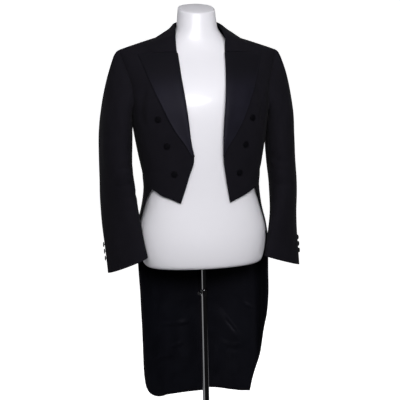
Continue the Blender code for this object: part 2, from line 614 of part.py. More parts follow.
def build_lapel(side, material, collection):
    """Satin-faced leaf turned back from the roll line, with its peak past the notch."""
    across = [0.0, 0.07, 0.22, 0.42, 0.64, 0.82, 1.0]
    lifts = [0.0016, 0.0052, 0.0062, 0.0052, 0.0044, 0.0038, LEAF_LIFT]
    points, inward = [], []
    rows = len(LAPEL["edge_x"])
    for i in range(rows):
        level = LAPEL["roll_level"][i]
        roll = roll_place(side, level)
        edge = np.array([LAPEL["edge_x"][i], LAPEL["edge_level"][i]])
        spring = LAPEL_STAND[side] * math.sin(math.pi * (0.15 + 0.85 * i / (rows - 1)))
        row, row_in = [], []
        for share, lift in zip(across, lifts):
            x, here = roll + (edge - roll) * share
            if i == rows - 1:
                x, here = gorge_place(side, share)
            angle = angle_at(x, here)
            row.append(lifted(side, angle, here, lift + spring * share ** 2))
            row_in.append(-coat_normal(side, angle, here))
        points.append(row)
        inward.append(row_in)
    return cloth(f"lapel_{side}", side, np.array(points), np.array(inward), SATIN, material, collection)


def roll_place(side, level):
    """The lapel's roll, a little past the forepart's edge."""
    return np.array([curve(FRONT_EDGE, side, level) - 0.0016, level])


def gorge_place(side, share):
    """Place on the lapel's top edge: the gorge seam to the notch, then the peak."""
    roll = roll_place(side, LAPEL["roll_level"][-1])
    notch = np.array([NOTCH["x"], NOTCH["level"]])
    tip = np.array([LAPEL["edge_x"][-1], LAPEL["edge_level"][-1]])
    if share <= 0.64:
        return roll + (notch - roll) * share / 0.64
    return notch + (tip - notch) * (share - 0.64) / 0.36


def collar_place(i):
    """Angle and level of the leaf's outer edge on the coat."""
    x, level = COLLAR["edge_x"][i], COLLAR["edge_level"][i]
    angle = angle_at(x, level)
    return (180.0 - angle if COLLAR["edge_back"][i] else angle), level


def leaf_point(side, fold, edge_place, edge_lift, share, bulge):
    """Point of the leaf between its fold and its edge, never nearer to the coat than its lift."""
    edge = lifted(side, *edge_place, edge_lift)
    outward = unit(np.array([fold[0], fold[1] - 0.030, 0.0]))
    point = fold + (edge - fold) * share + (outward * 0.6 + np.array([0.0, 0.0, 0.8])) * bulge
    if share < 0.5:
        return point
    angle, level = edge_place
    inner_x = NECK_X + (abs(edge[0]) - NECK_X) * share
    near = (angle, level)
    if abs(edge[0]) > NECK_X:
        near_angle = angle_at(inner_x, level)
        near = (180.0 - near_angle if angle > 90 else near_angle, level)
    floor = lifted(side, *near, edge_lift + 0.0015)
    normal = coat_normal(side, *near)
    short = float(np.dot(floor - point, normal))
    return point + normal * max(0.0, short)


def gorge_row(side):
    """The leaf's end: along the gorge to the notch, then up to the collar's corner."""
    row = []
    for share, lift in ((0.03, 0.0030), (0.10, 0.0058), (0.34, 0.0060), (0.62, 0.0050)):
        x, level = gorge_place(side, share)
        row.append(lifted(side, angle_at(x, level + 0.0016), level + 0.0016, lift))
    corner = (angle_at(COLLAR_CORNER["x"], COLLAR_CORNER["level"]), COLLAR_CORNER["level"])
    return row + [lifted(side, *corner, LEAF_LIFT)]


def collar_half(side):
    """The leaf's and the stand's points from the centre back to one gorge, on the left."""
    leaf, stand = [], []
    last = len(COLLAR["fold_x"]) - 1
    for i in range(last + 1):
        fold = np.array([COLLAR["fold_x"][i], COLLAR["fold_y"][i], COLLAR["fold_z"][i]])
        neck = np.array([COLLAR["neck_x"][i], COLLAR["neck_y"][i], COLLAR["neck_z"][i]])
        outward = unit(np.array([fold[0], fold[1] - 0.030, 0.0]))
        place, lift = collar_place(i), COLLAR["edge_lift"][i]
        row = [leaf_point(side, fold, place, lift, share, bulge) for share, bulge in LEAF_BULGE]
        row.append(lifted(side, *place, lift))
        leaf.append(gorge_row(side) if i == last else row)
        stand_top = fold + outward * 0.0006 - np.array([0.0, 0.0, 0.0045])
        stand.append([neck, (neck + stand_top) / 2, stand_top])
    return {"collar_leaf": np.array(leaf), "collar_stand": np.array(stand[:last - 1])}


def build_collar(wool, collection):
    """Leaf from one gorge round the neck to the other, and the stand inside it."""
    left, right = collar_half("left"), collar_half("right")
    for name in ("collar_leaf", "collar_stand"):
        mirror = right[name][:0:-1] * np.array([-1.0, 1.0, 1.0])
        points = np.concatenate([mirror, left[name]])
        normal = unit_rows(np.cross(np.gradient(points, axis=1), np.gradient(points, axis=0)))
        outward = points - np.array([0.0, 0.030, 1.480])
        normal *= np.sign(np.sum(normal * outward, axis=-1, keepdims=True))
        points[..., 0] += COLLAR_SHIFT * np.clip((points[..., 2] - 1.530) / 0.040, 0.0, 1.0)
        add_object(name, wall_mesh(name, points, -normal, WOOL, False), wool, collection)


# ------------------------------------------------------------------ turned pieces
def turned(name, profile, steps, material, collection, hollow=False):
    """Piece turned about Z from (radius, z) pairs, listed down its outer side.

    A hollow piece's profile closes on itself, up its inner side.
    """
    mesh = bpy.data.meshes.new(name)
    edges = [(i, i + 1) for i in range(len(profile) - 1)]
    if hollow:
        edges.append((len(profile) - 1, 0))
    mesh.from_pydata([(radius, 0.0, z) for radius, z in profile], edges, [])
    piece = add_object(name, mesh, material, collection)
    screw = piece.modifiers.new("turn", "SCREW")
    screw.axis = "Z"
    screw.angle = 2 * math.pi
    screw.steps = steps
    screw.render_steps = steps
    screw.use_merge_vertices = True
    screw.merge_threshold = 0.0001
    return piece


# ------------------------------------------------------------------ buttons
def button_profile(radius):
    """A domed face over a rounded rim, down to a flat back at z = 0."""
    shares = [(0.00, 0.44), (0.60, 0.42), (0.93, 0.34), (1.00, 0.22), (0.96, 0.10), (0.72, 0.00), (0.00, 0.00)]
    return [(radius * across, radius * height) for across, height in shares]


def place_button(name, radius, point, normal, side, material, collection):
    point, normal = Vector(point), Vector(normal)
    if side == "right":
        point.x, normal.x = -point.x, -normal.x
    button = turned(name, button_profile(radius), 16, material, collection)
    button.location = point + normal * 0.0012
    button.rotation_mode = "QUATERNION"
    button.rotation_quaternion = Vector((0, 0, 1)).rotation_difference(normal)
    return button


def build_buttons(side, material, collection):
    for number, (x, level) in enumerate(((0.1330, 1.320), (0.1110, 1.245), (0.0920, 1.166)), 1):
        angle = angle_at(x, level)
        place_button(f"front_button_{side}_{number}", BUTTON_RADIUS, coat_point(side, angle, level),
                     coat_normal(side, angle, level), side, material, collection)
    last = len(SLEEVE["z"]) - 1
    for number, (row, share) in enumerate(((last, 0.88), (last - 1, 0.29), (last - 1, 0.68)), 1):
        low, out_low = sleeve_section(side, row, SLEEVE_COLUMNS - 1)
        high, out_high = sleeve_section(side, row - 1, SLEEVE_COLUMNS - 1)
        outward = unit(out_low + (out_high - out_low) * share)
        place_button(f"cuff_button_{side}_{number}", CUFF_BUTTON_RADIUS, low + (high - low) * share,
                     outward, side, material, collection)
    angle, level = 162.0, WAIST_LEVEL + 0.012
    place_button(f"back_button_{side}", BUTTON_RADIUS, coat_point(side, angle, level),
                 coat_normal(side, angle, level), side, material, collection)


# ------------------------------------------------------------------ dress form and stand
def build_form(material, collection, cutters):
    bm = bmesh.new()
    rings = []
    for i, z in enumerate(FORM["z"]):
        ring = []
        for k in range(FORM_COLUMNS):
            angle = 360.0 * k / FORM_COLUMNS
            x, y = ring_point(angle, FORM["width"][i], FORM["front"][i], FORM["back"][i], FORM["middle"][i])
            rise = FORM["tilt"][i] * (y - FORM["middle"][i])
            ring.append(bm.verts.new((x, y, z + rise)))
        rings.append(ring)
    for low, high in zip(rings, rings[1:]):
        for k in range(FORM_COLUMNS):
            m = (k + 1) % FORM_COLUMNS
            bm.faces.new((low[k], low[m], high[m], high[k]))
    bm.faces.new(rings[0][::-1])
    bm.faces.new(rings[-1])
    bmesh.ops.recalc_face_normals(bm, faces=bm.faces)
    mesh = bpy.data.meshes.new("dress_form")
    bm.to_mesh(mesh)
    bm.free()
    form = add_object("dress_form", mesh, material, collection)
    socket = bore_cutter("socket_cutter", UPPER_TUBE_RADIUS + GAP, 2 * SOCKET_DEPTH, 24, material, cutters)
    socket.location = (0.0, 0.0, FORM_BOTTOM)
    cut_away(form, socket)


def bore_cutter(name, radius, depth, sides, material, cutters):
    """Cylinder along its own Z, centred, for cutting a round hole."""
    profile = [(0.0, depth / 2), (radius, depth / 2), (radius, -depth / 2), (0.0, -depth / 2)]
    cutter = turned(name, profile, sides, material, cutters)
    cutter.hide_render = True
    cutter.display_type = "WIRE"
    return cutter


def cut_away(piece, cutter):
    cut = piece.modifiers.new(cutter.name, "BOOLEAN")
    cut.operation = "DIFFERENCE"
    cut.solver = "EXACT"
    cut.object = cutter


def point_outward(piece, distance):
    """Turn a piece's Z to the thumb screw's direction, at a distance from the pole's axis."""
    turn = math.radians(SCREW_TURN)
    piece.location = (distance * math.cos(turn), distance * math.sin(turn), CLAMP_Z)
    piece.rotation_euler = (0.0, math.pi / 2, turn)


def build_stand(chrome, collection, cutters):
    """Base plate, lower tube, clamp collar with its thumb screw, and the tube that slides in them."""
    top, bottom = FORM_BOTTOM + SOCKET_DEPTH - GAP, CLAMP_Z - TUBE_REACH
    inner = UPPER_TUBE_RADIUS - TUBE_WALL
    turned("upper_tube", [(UPPER_TUBE_RADIUS, top), (UPPER_TUBE_RADIUS, bottom), (inner, bottom), (inner, top)],
           24, chrome, collection, hollow=True)

    bore = UPPER_TUBE_RADIUS + GAP
    foot, mouth = BASE_THICKNESS + GAP, CLAMP_Z + CLAMP_HEIGHT / 2
    lower = turned("lower_tube", [(LOWER_TUBE_RADIUS, mouth), (LOWER_TUBE_RADIUS, foot), (bore, foot),
                                  (bore, mouth)], 24, chrome, collection, hollow=True)
    fit = LOWER_TUBE_RADIUS + GAP
    half, edge = CLAMP_HEIGHT / 2, 0.001
    clamp = turned("clamp_collar", [(fit, CLAMP_Z + half), (CLAMP_RADIUS - edge, CLAMP_Z + half),
                                    (CLAMP_RADIUS, CLAMP_Z + half - edge), (CLAMP_RADIUS, CLAMP_Z - half + edge),
                                    (CLAMP_RADIUS - edge, CLAMP_Z - half), (fit, CLAMP_Z - half)],
                   24, chrome, collection, hollow=True)
    for piece in (lower, clamp):
        hole = bore_cutter(f"{piece.name}_hole", SCREW_RADIUS + GAP, 0.012, 12, chrome, cutters)
        point_outward(hole, LOWER_TUBE_RADIUS + 0.002)
        cut_away(piece, hole)

    head, shank = 0.0085, CLAMP_RADIUS + 0.0006
    reach = shank - UPPER_TUBE_RADIUS - GAP
    screw = turned("thumb_screw", [(0.0, head), (SCREW_HEAD_RADIUS - 0.001, head),
                                   (SCREW_HEAD_RADIUS, head - 0.001), (SCREW_HEAD_RADIUS, 0.001),
                                   (SCREW_HEAD_RADIUS - 0.001, 0.0), (SCREW_RADIUS, 0.0),
                                   (SCREW_RADIUS, -reach), (0.0, -reach)], 20, chrome, collection)
    point_outward(screw, shank)

    bpy.ops.mesh.primitive_cylinder_add(vertices=64, radius=BASE_RADIUS, depth=BASE_THICKNESS,
                                        location=(0.0, 0.0, BASE_THICKNESS / 2))
    base = bpy.context.object
    base.name = "stand_base"
    for old in list(base.users_collection):
        old.objects.unlink(base)
    collection.objects.link(base)
    base.data.materials.append(chrome)
    bevel = base.modifiers.new("edge", "BEVEL")
    bevel.width = BASE_BEVEL
    bevel.segments = 2
    bevel.limit_method = "ANGLE"


def main():
    clear_scene()
    coat = new_collection("tailcoat_on_dress_form")
    cutters = new_collection("cutters")
    wool = finish_material("black_barathea", (0.012, 0.012, 0.015), 0.85)
    satin = finish_material("black_satin", (0.020, 0.020, 0.030), 0.35)
    lining = finish_material("black_lining", (0.008, 0.008, 0.012), 0.40)
    covering = finish_material("button_cover", (0.012, 0.012, 0.015), 0.80)
    gloss = finish_material("white_gloss", (0.86, 0.86, 0.88), 0.12)
    chrome = finish_material("chrome", (0.75, 0.75, 0.77), 0.10, 1.0)
    for side in ("left", "right"):
        build_forepart(side, wool, coat)
        build_side_body(side, wool, coat)
        build_back(side, wool, coat)
        build_skirt(side, wool, coat)
        build_tail_lining(side, lining, coat)
        build_sleeves(side, wool, coat)
        build_lapel(side, satin, coat)
        build_buttons(side, covering, coat)
    build_collar(wool, coat)
    build_form(gloss, coat, cutters)
    build_stand(chrome, coat, cutters)


main()
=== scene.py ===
# %% [markdown]
# # An evening tailcoat on a dress form
# The solids of the coat, its form and its stand come from the CAD model, and this file dresses
# them.  Each cloth panel is rebuilt as a thin shell on its own solid, with folds pressed in, and
# then come the buttons, the glossy form, the stand and the light.
# Everything is in metres, +Z up, and the coat's front faces -Y.

import json
import math
from contextlib import contextmanager

import bmesh
import bpy
import numpy as np
from mathutils import Matrix, Vector

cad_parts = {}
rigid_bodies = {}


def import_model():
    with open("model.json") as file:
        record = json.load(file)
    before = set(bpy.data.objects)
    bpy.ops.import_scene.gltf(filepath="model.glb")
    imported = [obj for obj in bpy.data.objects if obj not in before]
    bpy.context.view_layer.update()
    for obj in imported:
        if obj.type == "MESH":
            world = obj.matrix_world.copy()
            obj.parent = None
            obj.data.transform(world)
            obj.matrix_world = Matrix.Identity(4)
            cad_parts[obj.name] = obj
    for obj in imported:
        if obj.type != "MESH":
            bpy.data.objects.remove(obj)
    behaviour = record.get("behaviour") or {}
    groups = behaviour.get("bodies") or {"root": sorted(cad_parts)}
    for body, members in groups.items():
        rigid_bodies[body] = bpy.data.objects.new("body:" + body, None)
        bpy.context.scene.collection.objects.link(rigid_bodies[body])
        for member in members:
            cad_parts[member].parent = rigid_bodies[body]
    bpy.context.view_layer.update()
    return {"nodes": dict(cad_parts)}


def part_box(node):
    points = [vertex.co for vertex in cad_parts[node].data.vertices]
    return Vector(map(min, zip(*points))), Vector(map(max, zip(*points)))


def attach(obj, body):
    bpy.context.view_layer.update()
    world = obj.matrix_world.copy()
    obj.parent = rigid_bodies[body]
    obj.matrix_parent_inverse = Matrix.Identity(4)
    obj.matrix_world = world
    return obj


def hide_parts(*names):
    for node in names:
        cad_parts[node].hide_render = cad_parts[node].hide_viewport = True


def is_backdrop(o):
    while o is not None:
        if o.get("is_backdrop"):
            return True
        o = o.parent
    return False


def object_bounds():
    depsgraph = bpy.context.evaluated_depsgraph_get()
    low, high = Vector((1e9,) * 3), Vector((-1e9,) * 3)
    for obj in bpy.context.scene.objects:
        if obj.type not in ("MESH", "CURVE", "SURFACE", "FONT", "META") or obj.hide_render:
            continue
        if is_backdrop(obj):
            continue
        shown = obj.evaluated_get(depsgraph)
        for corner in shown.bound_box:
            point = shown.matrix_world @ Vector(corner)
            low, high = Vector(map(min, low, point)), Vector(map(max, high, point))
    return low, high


for old in list(bpy.data.objects):
    bpy.data.objects.remove(old)
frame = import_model()
SIDES = ("left", "right")

# %% [markdown]
# ## The camera
# It stands a little to the wearer's right, as high as the shoulders, and looks slightly down.  The
# lens is long, so the sleeves don't lean.

# %% Set the camera
AZIMUTH = math.radians(-10.0)
ELEVATION = math.radians(9.0)
ROLL = math.radians(1.2)
DISTANCE = 3.0
TARGET = Vector((0.0, 0.0, 1.074))
SENSOR = 36.0
FOCAL_SHARE = 2.5875        # focal length over sensor width
SIDE_SHIFT = -0.00483       # the frame's centre, as a share of its width

bpy.ops.object.camera_add()
camera = bpy.context.object
camera.name = "camera"
camera.data.sensor_width = SENSOR
camera.data.lens = SENSOR * FOCAL_SHARE
camera.data.shift_x = SIDE_SHIFT * math.cos(ROLL)
camera.data.shift_y = SIDE_SHIFT * math.sin(ROLL)
turned = (Matrix.Rotation(AZIMUTH, 4, "Z") @ Matrix.Rotation(math.pi / 2 - ELEVATION, 4, "X")
          @ Matrix.Rotation(-ROLL, 4, "Z"))
camera.matrix_world = Matrix.Translation(TARGET) @ turned @ Matrix.Translation((0.0, 0.0, DISTANCE))
bpy.context.scene.camera = camera
print("camera at", [round(v, 3) for v in camera.location])

# %% [markdown]
# ## Shader sums in plain Python
# A finish is easier to read as a sum than as a pile of nodes.  A Wire wraps an output socket, so
# that `0.5 + mask * 0.2` adds the Math nodes, and Graph.node is the one way to add any other.

# %% Wrap a socket
class Wire:
    """An output socket that can be added, multiplied, or subtracted from a number."""

    def __init__(self, graph, socket):
        self.graph = graph
        self.socket = socket

    def math(self, operation, first, second):
        return self.graph.node("ShaderNodeMath", {"operation": operation}, {0: first, 1: second})

    def __add__(self, other):
        return self.math("ADD", self, other)

    def __rsub__(self, other):
        return self.math("SUBTRACT", other, self)

    def __mul__(self, other):
        return self.math("MULTIPLY", self, other)

    __radd__ = __add__
    __rmul__ = __mul__


# %% Add nodes to a tree
class Graph:
    """A node tree that finishes are drawn in."""

    def __init__(self, tree):
        self.tree = tree

    def node(self, kind, settings=None, sockets=None, output=0):
        added = self.tree.nodes.new(kind)
        for key, value in (settings or {}).items():
            if key == "stops":
                for stop, (position, colour) in zip(added.color_ramp.elements, value):
                    stop.position, stop.color = position, (*colour, 1.0)
            else:
                setattr(added, key, value)
        for key, value in (sockets or {}).items():
            self.feed(added.inputs[key], value)
        return Wire(self, added.outputs[output])

    def feed(self, socket, value):
        if isinstance(value, Wire):
            self.tree.links.new(value.socket, socket)
        else:
            socket.default_value = value

    def axes(self, vector):
        """The X, Y and Z of a vector wire."""
        split = self.node("ShaderNodeSeparateXYZ", None, {0: vector})
        return [Wire(self, output) for output in split.socket.node.outputs]

    def swell(self, value, start, end, height=1.0):
        """Rises smoothly from 0 at the start to a height at the end."""
        return self.node("ShaderNodeMapRange", {"interpolation_type": "SMOOTHSTEP"},
                         {0: value, 1: start, 2: end, 3: 0.0, 4: height})

    def wave(self, angle):
        """Sine of an angle wire, from -1 to 1."""
        return self.node("ShaderNodeMath", {"operation": "SINE"}, {0: angle})

    def noise(self, vector, scale, detail=2.0):
        return self.node("ShaderNodeTexNoise", None,
                         {"Vector": vector, "Scale": scale, "Detail": detail})

    def stretch(self, vector, scale):
        return self.node("ShaderNodeMapping", None, {"Vector": vector, "Scale": scale})

    def ramp(self, factor, dark, light, low=0.30, high=0.70):
        """Goes from a dark colour to a light one as the factor goes from low to high."""
        return self.node("ShaderNodeValToRGB", {"stops": ((low, dark), (high, light))}, {"Fac": factor})


# %% Start a material
class Paint(Graph):
    """A material with its Principled shader."""

    def __init__(self, name, **constants):
        self.material = bpy.data.materials.new(name)
        self.material.use_nodes = True
        super().__init__(self.material.node_tree)
        self.shader = self.tree.nodes["Principled BSDF"]
        for key, value in constants.items():
            self.set(key.replace("_", " ").title().replace("Ior", "IOR"), value)

    def set(self, name, value):
        self.feed(self.shader.inputs[name], value)

    def place(self):
        """The place on the piece, in the piece's own metres."""
        return self.node("ShaderNodeTexCoord", output=3)

    def mottled(self, factor, tint, spread):
        """A tint, darker by a share where the factor is low and lighter where it is high."""
        dark, light = (tuple(channel * share for channel in tint) for share in (1.0 - spread, 1.0 + spread))
        return self.ramp(factor, dark, light)

    def emboss(self, height, distance, strength):
        """Raises the surface by a height wire, where 1 stands for a distance in metres."""
        self.set("Normal", self.node("ShaderNodeBump", None,
                                     {"Height": height, "Distance": distance, "Strength": strength}))


# %% [markdown]
# ## Black barathea
# Evening wool is woven as a fine broken rib with a pebbled face, and it swallows light.  The rib
# follows the grain, so it is drawn in the panel's own flat pattern, whose UV units are metres.

# %% Make the wool
TURN = 2 * math.pi
WEAVE = 0.0011              # one repeat of the pebbles
RIB = 2.3 * WEAVE           # one repeat of the broken rib


def flat_place(paint):
    """The place on the cut cloth, and its metres across and along the grain."""
    grain = paint.node("ShaderNodeUVMap", {"uv_map": "grain"})
    across, along, _ = paint.axes(grain)
    return grain, across, along


wool = Paint("black_barathea", sheen_weight=0.015, sheen_roughness=0.5, specular_ior_level=0.04)
grain, across, along = flat_place(wool)
pebble = wool.wave(across * (TURN / WEAVE)) * wool.wave(along * (TURN / WEAVE))
rib = wool.wave((across + along * 0.5) * (TURN / RIB))
fibre = wool.noise(grain, 2600.0, 3.0)
cloud = wool.noise(grain, 14.0, 3.0)
wool.emboss(pebble * 0.35 + rib * 0.30 + fibre * 0.9, 0.00016, 0.55)
wool.set("Base Color", wool.mottled(cloud * 0.6 + fibre * 0.4, (0.0082, 0.0076, 0.0105), 0.14))
wool.set("Roughness", 0.84 + fibre * 0.14)
print("finish", wool.material.name)

# %% [markdown]
# ## Silk satin
# The lapels are faced with satin, whose long threads lie side by side, so it is darker than wool
# where it faces away from the light and brighter where it faces it.  Towards the gorge its colour
# is painted darker and greyer: painted shade, where the satin catches less light.

# %% Make the satin and the tail lining
SATIN_WEAVE = 0.0009
# the satin's colour towards the gorge, darker and greyer: painted shade
PAINTED_SHADE_TINT = (0.0056, 0.0053, 0.0075, 1.0)
SHADE_FROM, SHADE_FULL = 1.38, 1.46      # levels between which the painted shade sets in


def satin(name, tint, roughness, streak_depth, shine):
    paint = Paint(name, specular_ior_level=shine, specular_tint=(0.88, 0.84, 1.0, 1.0),
                  sheen_weight=0.01, sheen_roughness=0.3)
    grain, _, along = flat_place(paint)
    streak = paint.noise(paint.stretch(grain, (2400.0, 90.0, 1.0)), 1.0)
    cloud = paint.noise(grain, 22.0, 3.0)
    rib = paint.wave(along * (TURN / SATIN_WEAVE))
    paint.emboss(streak * 0.8 + rib * 0.12, streak_depth, 0.6)
    level = paint.axes(paint.place())[2]
    # above a level the satin's colour is painted darker and greyer: painted shade
    painted_shade = paint.swell(level, SHADE_FROM, SHADE_FULL)
    # the Mix node's colours are its inputs 6 and 7 and its output 2
    paint.set("Base Color", paint.node("ShaderNodeMix", {"data_type": "RGBA"},
                                       {0: painted_shade, 6: paint.mottled(cloud, tint, 0.15), 7: PAINTED_SHADE_TINT}, 2))
    paint.set("Roughness", (roughness - 0.05) + streak * 0.06 + cloud * 0.05)
    return paint


facing = satin("black_satin", (0.0084, 0.0080, 0.0130), 0.58, 0.00005, 0.23)
lining = satin("black_lining", (0.0046, 0.0048, 0.0072), 0.46, 0.00004, 0.17)
print("finishes", facing.material.name, lining.material.name)

# %% [markdown]
# ## Covered buttons, paint and steel
# The buttons' cloth and thread are fine enough to be drawn by noise alone.  The form's gloss
# paint and the chromed steel are smooth, so their small faults carry them: orange peel in the
# paint, and fine rings from polishing in the steel.

# %% Make the buttons' cover and thread
cover = Paint("button_cover", specular_ior_level=0.06)
streak = cover.noise(cover.stretch(cover.place(), (400.0, 400.0, 2600.0)), 1.0)
fibre = cover.noise(cover.place(), 2500.0)
cover.set("Base Color", cover.ramp(streak, (0.0020, 0.0019, 0.0027), (0.0034, 0.0032, 0.0046)))
cover.set("Roughness", 0.56 + streak * 0.10)
cover.emboss(streak * 0.7 + fibre * 0.4, 0.00005, 0.5)

thread = Paint("black_thread", roughness=0.7, specular_ior_level=0.2)
twist = thread.noise(thread.place(), 3000.0)
thread.set("Base Color", thread.ramp(twist, (0.006, 0.006, 0.007), (0.016, 0.016, 0.019)))
thread.emboss(twist, 0.00006, 0.6)
print("finishes", cover.material.name, thread.material.name)

# %% Make the form's paint
def gloss_finish(name, tint, roughness, lacquer):
    paint = Paint(name, coat_weight=lacquer, coat_roughness=0.06, specular_ior_level=0.4)
    cloud = paint.noise(paint.place(), 9.0, 3.0)
    peel = paint.noise(paint.place(), 260.0)
    dark = tuple(channel * 0.985 for channel in tint)
    paint.set("Base Color", paint.ramp(cloud, dark, tint, 0.35, 0.65))
    paint.set("Roughness", (roughness - 0.03) + cloud * 0.06)
    paint.emboss(peel, 0.00004, 0.25)
    return paint


gloss = gloss_finish("white_gloss", (0.795, 0.785, 0.835), 0.34, 0.35)
cap_paint = gloss_finish("white_cap", (0.815, 0.805, 0.855), 0.45, 0.1)
print("finishes", gloss.material.name, cap_paint.material.name)

# %% Make the steel
steel = Paint("chromed_steel", metallic=1.0)
polish = steel.noise(steel.stretch(steel.place(), (6.0, 6.0, 900.0)), 1.0, 3.0)
cloud = steel.noise(steel.place(), 30.0, 3.0)
steel.set("Base Color", steel.ramp(cloud, (0.50, 0.50, 0.52), (0.56, 0.56, 0.58)))
steel.set("Roughness", 0.035 + polish * 0.03 + cloud * 0.02)
print("finish", steel.material.name)

# %% [markdown]
# ## Tools for one piece
# An operator acts on everything that is selected, so each tool first makes its piece the only one
# selected.  Thickness, rounded edges and bores are modifiers, applied as soon as they are set.

# %% Open and change a piece
MERGED = 0.00001            # points nearer than this are one


def coordinates(mesh, kind="co"):
    """A mesh's points, or another vector that each of them has, as rows of an array."""
    values = np.empty(len(mesh.vertices) * 3)
    mesh.vertices.foreach_get(kind, values)
    return values.reshape(-1, 3)


def put_alone(piece):
    bpy.ops.object.select_all(action="DESELECT")
    piece.select_set(True)
    bpy.context.view_layer.objects.active = piece


@contextmanager
def opened(mesh):
    """A mesh as a bmesh, which is written back at the end."""
    bm = bmesh.new()
    bm.from_mesh(mesh)
    yield bm
    bm.to_mesh(mesh)
    bm.free()


@contextmanager
def editing(piece):
    """Edit mode on one piece, with all of it selected."""
    put_alone(piece)
    bpy.ops.object.mode_set(mode="EDIT")
    bpy.ops.mesh.select_all(action="SELECT")
    yield
    bpy.ops.object.mode_set(mode="OBJECT")


def pick(piece, kind, wanted):
    """Selects, in edit mode, the edges or the faces that pass a test."""
    bpy.ops.mesh.select_mode(type=kind)
    bpy.ops.mesh.select_all(action="DESELECT")
    bm = bmesh.from_edit_mesh(piece.data)
    for element in bm.edges if kind == "EDGE" else bm.faces:
        if wanted(element):
            element.select_set(True)
    bmesh.update_edit_mesh(piece.data)


def apply_modifier(piece, kind, **settings):
    modifier = piece.modifiers.new(kind.lower(), kind)
    for key, value in settings.items():
        setattr(modifier, key, value)
    put_alone(piece)
    bpy.ops.object.modifier_apply(modifier=modifier.name)


def apply_bevel(piece, width, segments, angle=40.0, smooth=35.0):
    """Rounds the edges sharper than an angle, and shades smooth those blunter than another."""
    apply_modifier(piece, "BEVEL", width=width, segments=segments, limit_method="ANGLE",
                   angle_limit=math.radians(angle))
    bpy.ops.object.shade_smooth_by_angle(angle=math.radians(smooth))


def cut_away(piece, cutter):
    """Takes one piece's volume out of another."""
    apply_modifier(piece, "BOOLEAN", operation="DIFFERENCE", solver="EXACT", object=cutter)
    bpy.data.objects.remove(cutter)


# %% Start a piece
def new_piece(name, mesh):
    piece = bpy.data.objects.new(name, mesh)
    bpy.context.scene.collection.objects.link(piece)
    return piece


def coat(piece, paint):
    """Gives a piece one finish and no other."""
    piece.data.materials.clear()
    piece.data.materials.append(paint.material)


def new_cylinder(radius, depth, middle, vertices=48):
    bpy.ops.object.select_all(action="DESELECT")
    bpy.ops.mesh.primitive_cylinder_add(vertices=vertices, radius=radius, depth=depth, location=middle)
    bpy.ops.object.transform_apply(location=True, rotation=True, scale=True)
    return bpy.context.object


# %% [markdown]
# ## From a CAD wall back to a cutter's panel
# A CAD panel is a closed wall of loose triangles.  Its outer skin is what shows, so the wall is
# merged, the edges that run through its thickness are deleted, and one of the two skins is kept.
# Each square of the skin was cut in two along the same diagonal: where one square's cut ends,
# the next one's starts from the other end of the side between them.

# %% Take the skin of a wall
THROUGH = 0.0002            # how far, as a share, an edge through a wall may miss its thickness


def square_cuts(bm):
    """The diagonals of a sheet's squares, found from a corner that one of them meets."""
    corner = next(v for v in bm.verts if v.is_boundary and len(v.link_edges) == 3)
    waiting = [next(e for e in corner.link_edges if not e.is_boundary)]
    found = set(waiting)
    while waiting:
        cut = waiting.pop()
        for face in cut.link_faces:
            tip = next(v for v in face.verts if v not in cut.verts)
            for side in tip.link_edges:
                if side not in face.edges[:] or side.is_boundary:
                    continue
                beyond = next(f for f in side.link_faces if f is not face)
                following = next(e for e in beyond.edges if e is not side and tip in e.verts)
                if following not in found:
                    found.add(following)
                    waiting.append(following)
    return [e for e in bm.edges if e in found]


def islands_of(bm):
    """A mesh's faces in groups that hang together."""
    left_over, islands = set(bm.faces), []
    while left_over:
        island, waiting = set(), [next(iter(left_over))]
        while waiting:
            face = waiting.pop()
            if face not in island:
                island.add(face)
                waiting += [f for e in face.edges for f in e.link_faces]
        left_over -= island
        islands.append(island)
    return islands


def skin_of(node, name, wall, outward, inner=False):
    """A panel's outer skin, or its inner one, as squares on the CAD points."""
    mesh = frame["nodes"][node].data.copy()
    mesh.name = name

    def outwardness(island):
        return sum(f.calc_area() * f.normal.dot(outward(f.calc_center_median())) for f in island)

    with opened(mesh) as bm:
        bmesh.ops.remove_doubles(bm, verts=bm.verts, dist=MERGED)
        through = [e for e in bm.edges if abs(e.calc_length() - wall) < THROUGH * wall]
        bmesh.ops.delete(bm, geom=list({f for e in through for f in e.link_faces}), context="FACES")
        bm.normal_update()
        islands = sorted(islands_of(bm), key=outwardness, reverse=not inner)
        dropped = [f for island in islands[1:] for f in island]
        bmesh.ops.delete(bm, geom=dropped, context="FACES")
        bmesh.ops.dissolve_edges(bm, edges=square_cuts(bm), use_verts=False, use_face_split=False)
        assert all(len(f.verts) == 4 for f in bm.faces), node
    mesh.materials.clear()
    return new_piece(name, mesh)


# %% [markdown]
# ## The flat pattern
# Angle-based unwrapping lays a panel out as a cutter would, with little stretch.  The layout is
# scaled to metres and turned until the grain runs up the body, and then it serves twice: it
# carries the weave, and its extent is the size that the panel was cut to.

# %% Lay a panel out flat
def lay_flat(piece):
    """Gives a skin its UV map "grain", in metres, and returns its width, length and area."""
    mesh = piece.data
    for old in list(mesh.uv_layers):
        mesh.uv_layers.remove(old)
    mesh.uv_layers.new(name="grain")
    with editing(piece):
        bpy.ops.uv.unwrap(method="ANGLE_BASED", margin=0.0)
    layer = mesh.uv_layers["grain"]
    flat = np.array([loop.uv[:] for loop in layer.data])
    corners = np.array([loop.vertex_index for loop in mesh.loops])
    height = coordinates(mesh)[corners, 2]
    centred = flat - flat.mean(0)
    slope = np.linalg.lstsq(centred, height - height.mean(), rcond=None)[0]
    grain_up = slope / np.linalg.norm(slope)
    turned = np.stack([centred @ np.array([grain_up[1], -grain_up[0]]), centred @ grain_up], axis=1)
    area = sum(face.area for face in mesh.polygons)
    ring = turned.reshape(-1, 4, 2)
    after = np.roll(ring, -1, axis=1)
    flat_area = np.abs((ring[..., 0] * after[..., 1] - ring[..., 1] * after[..., 0]).sum(1)).sum() / 2
    turned *= math.sqrt(area / flat_area)
    turned -= turned.min(0)
    for loop, spot in zip(layer.data, turned):
        loop.uv = spot
    width, length = turned.max(0)
    return float(width), float(length), float(area)


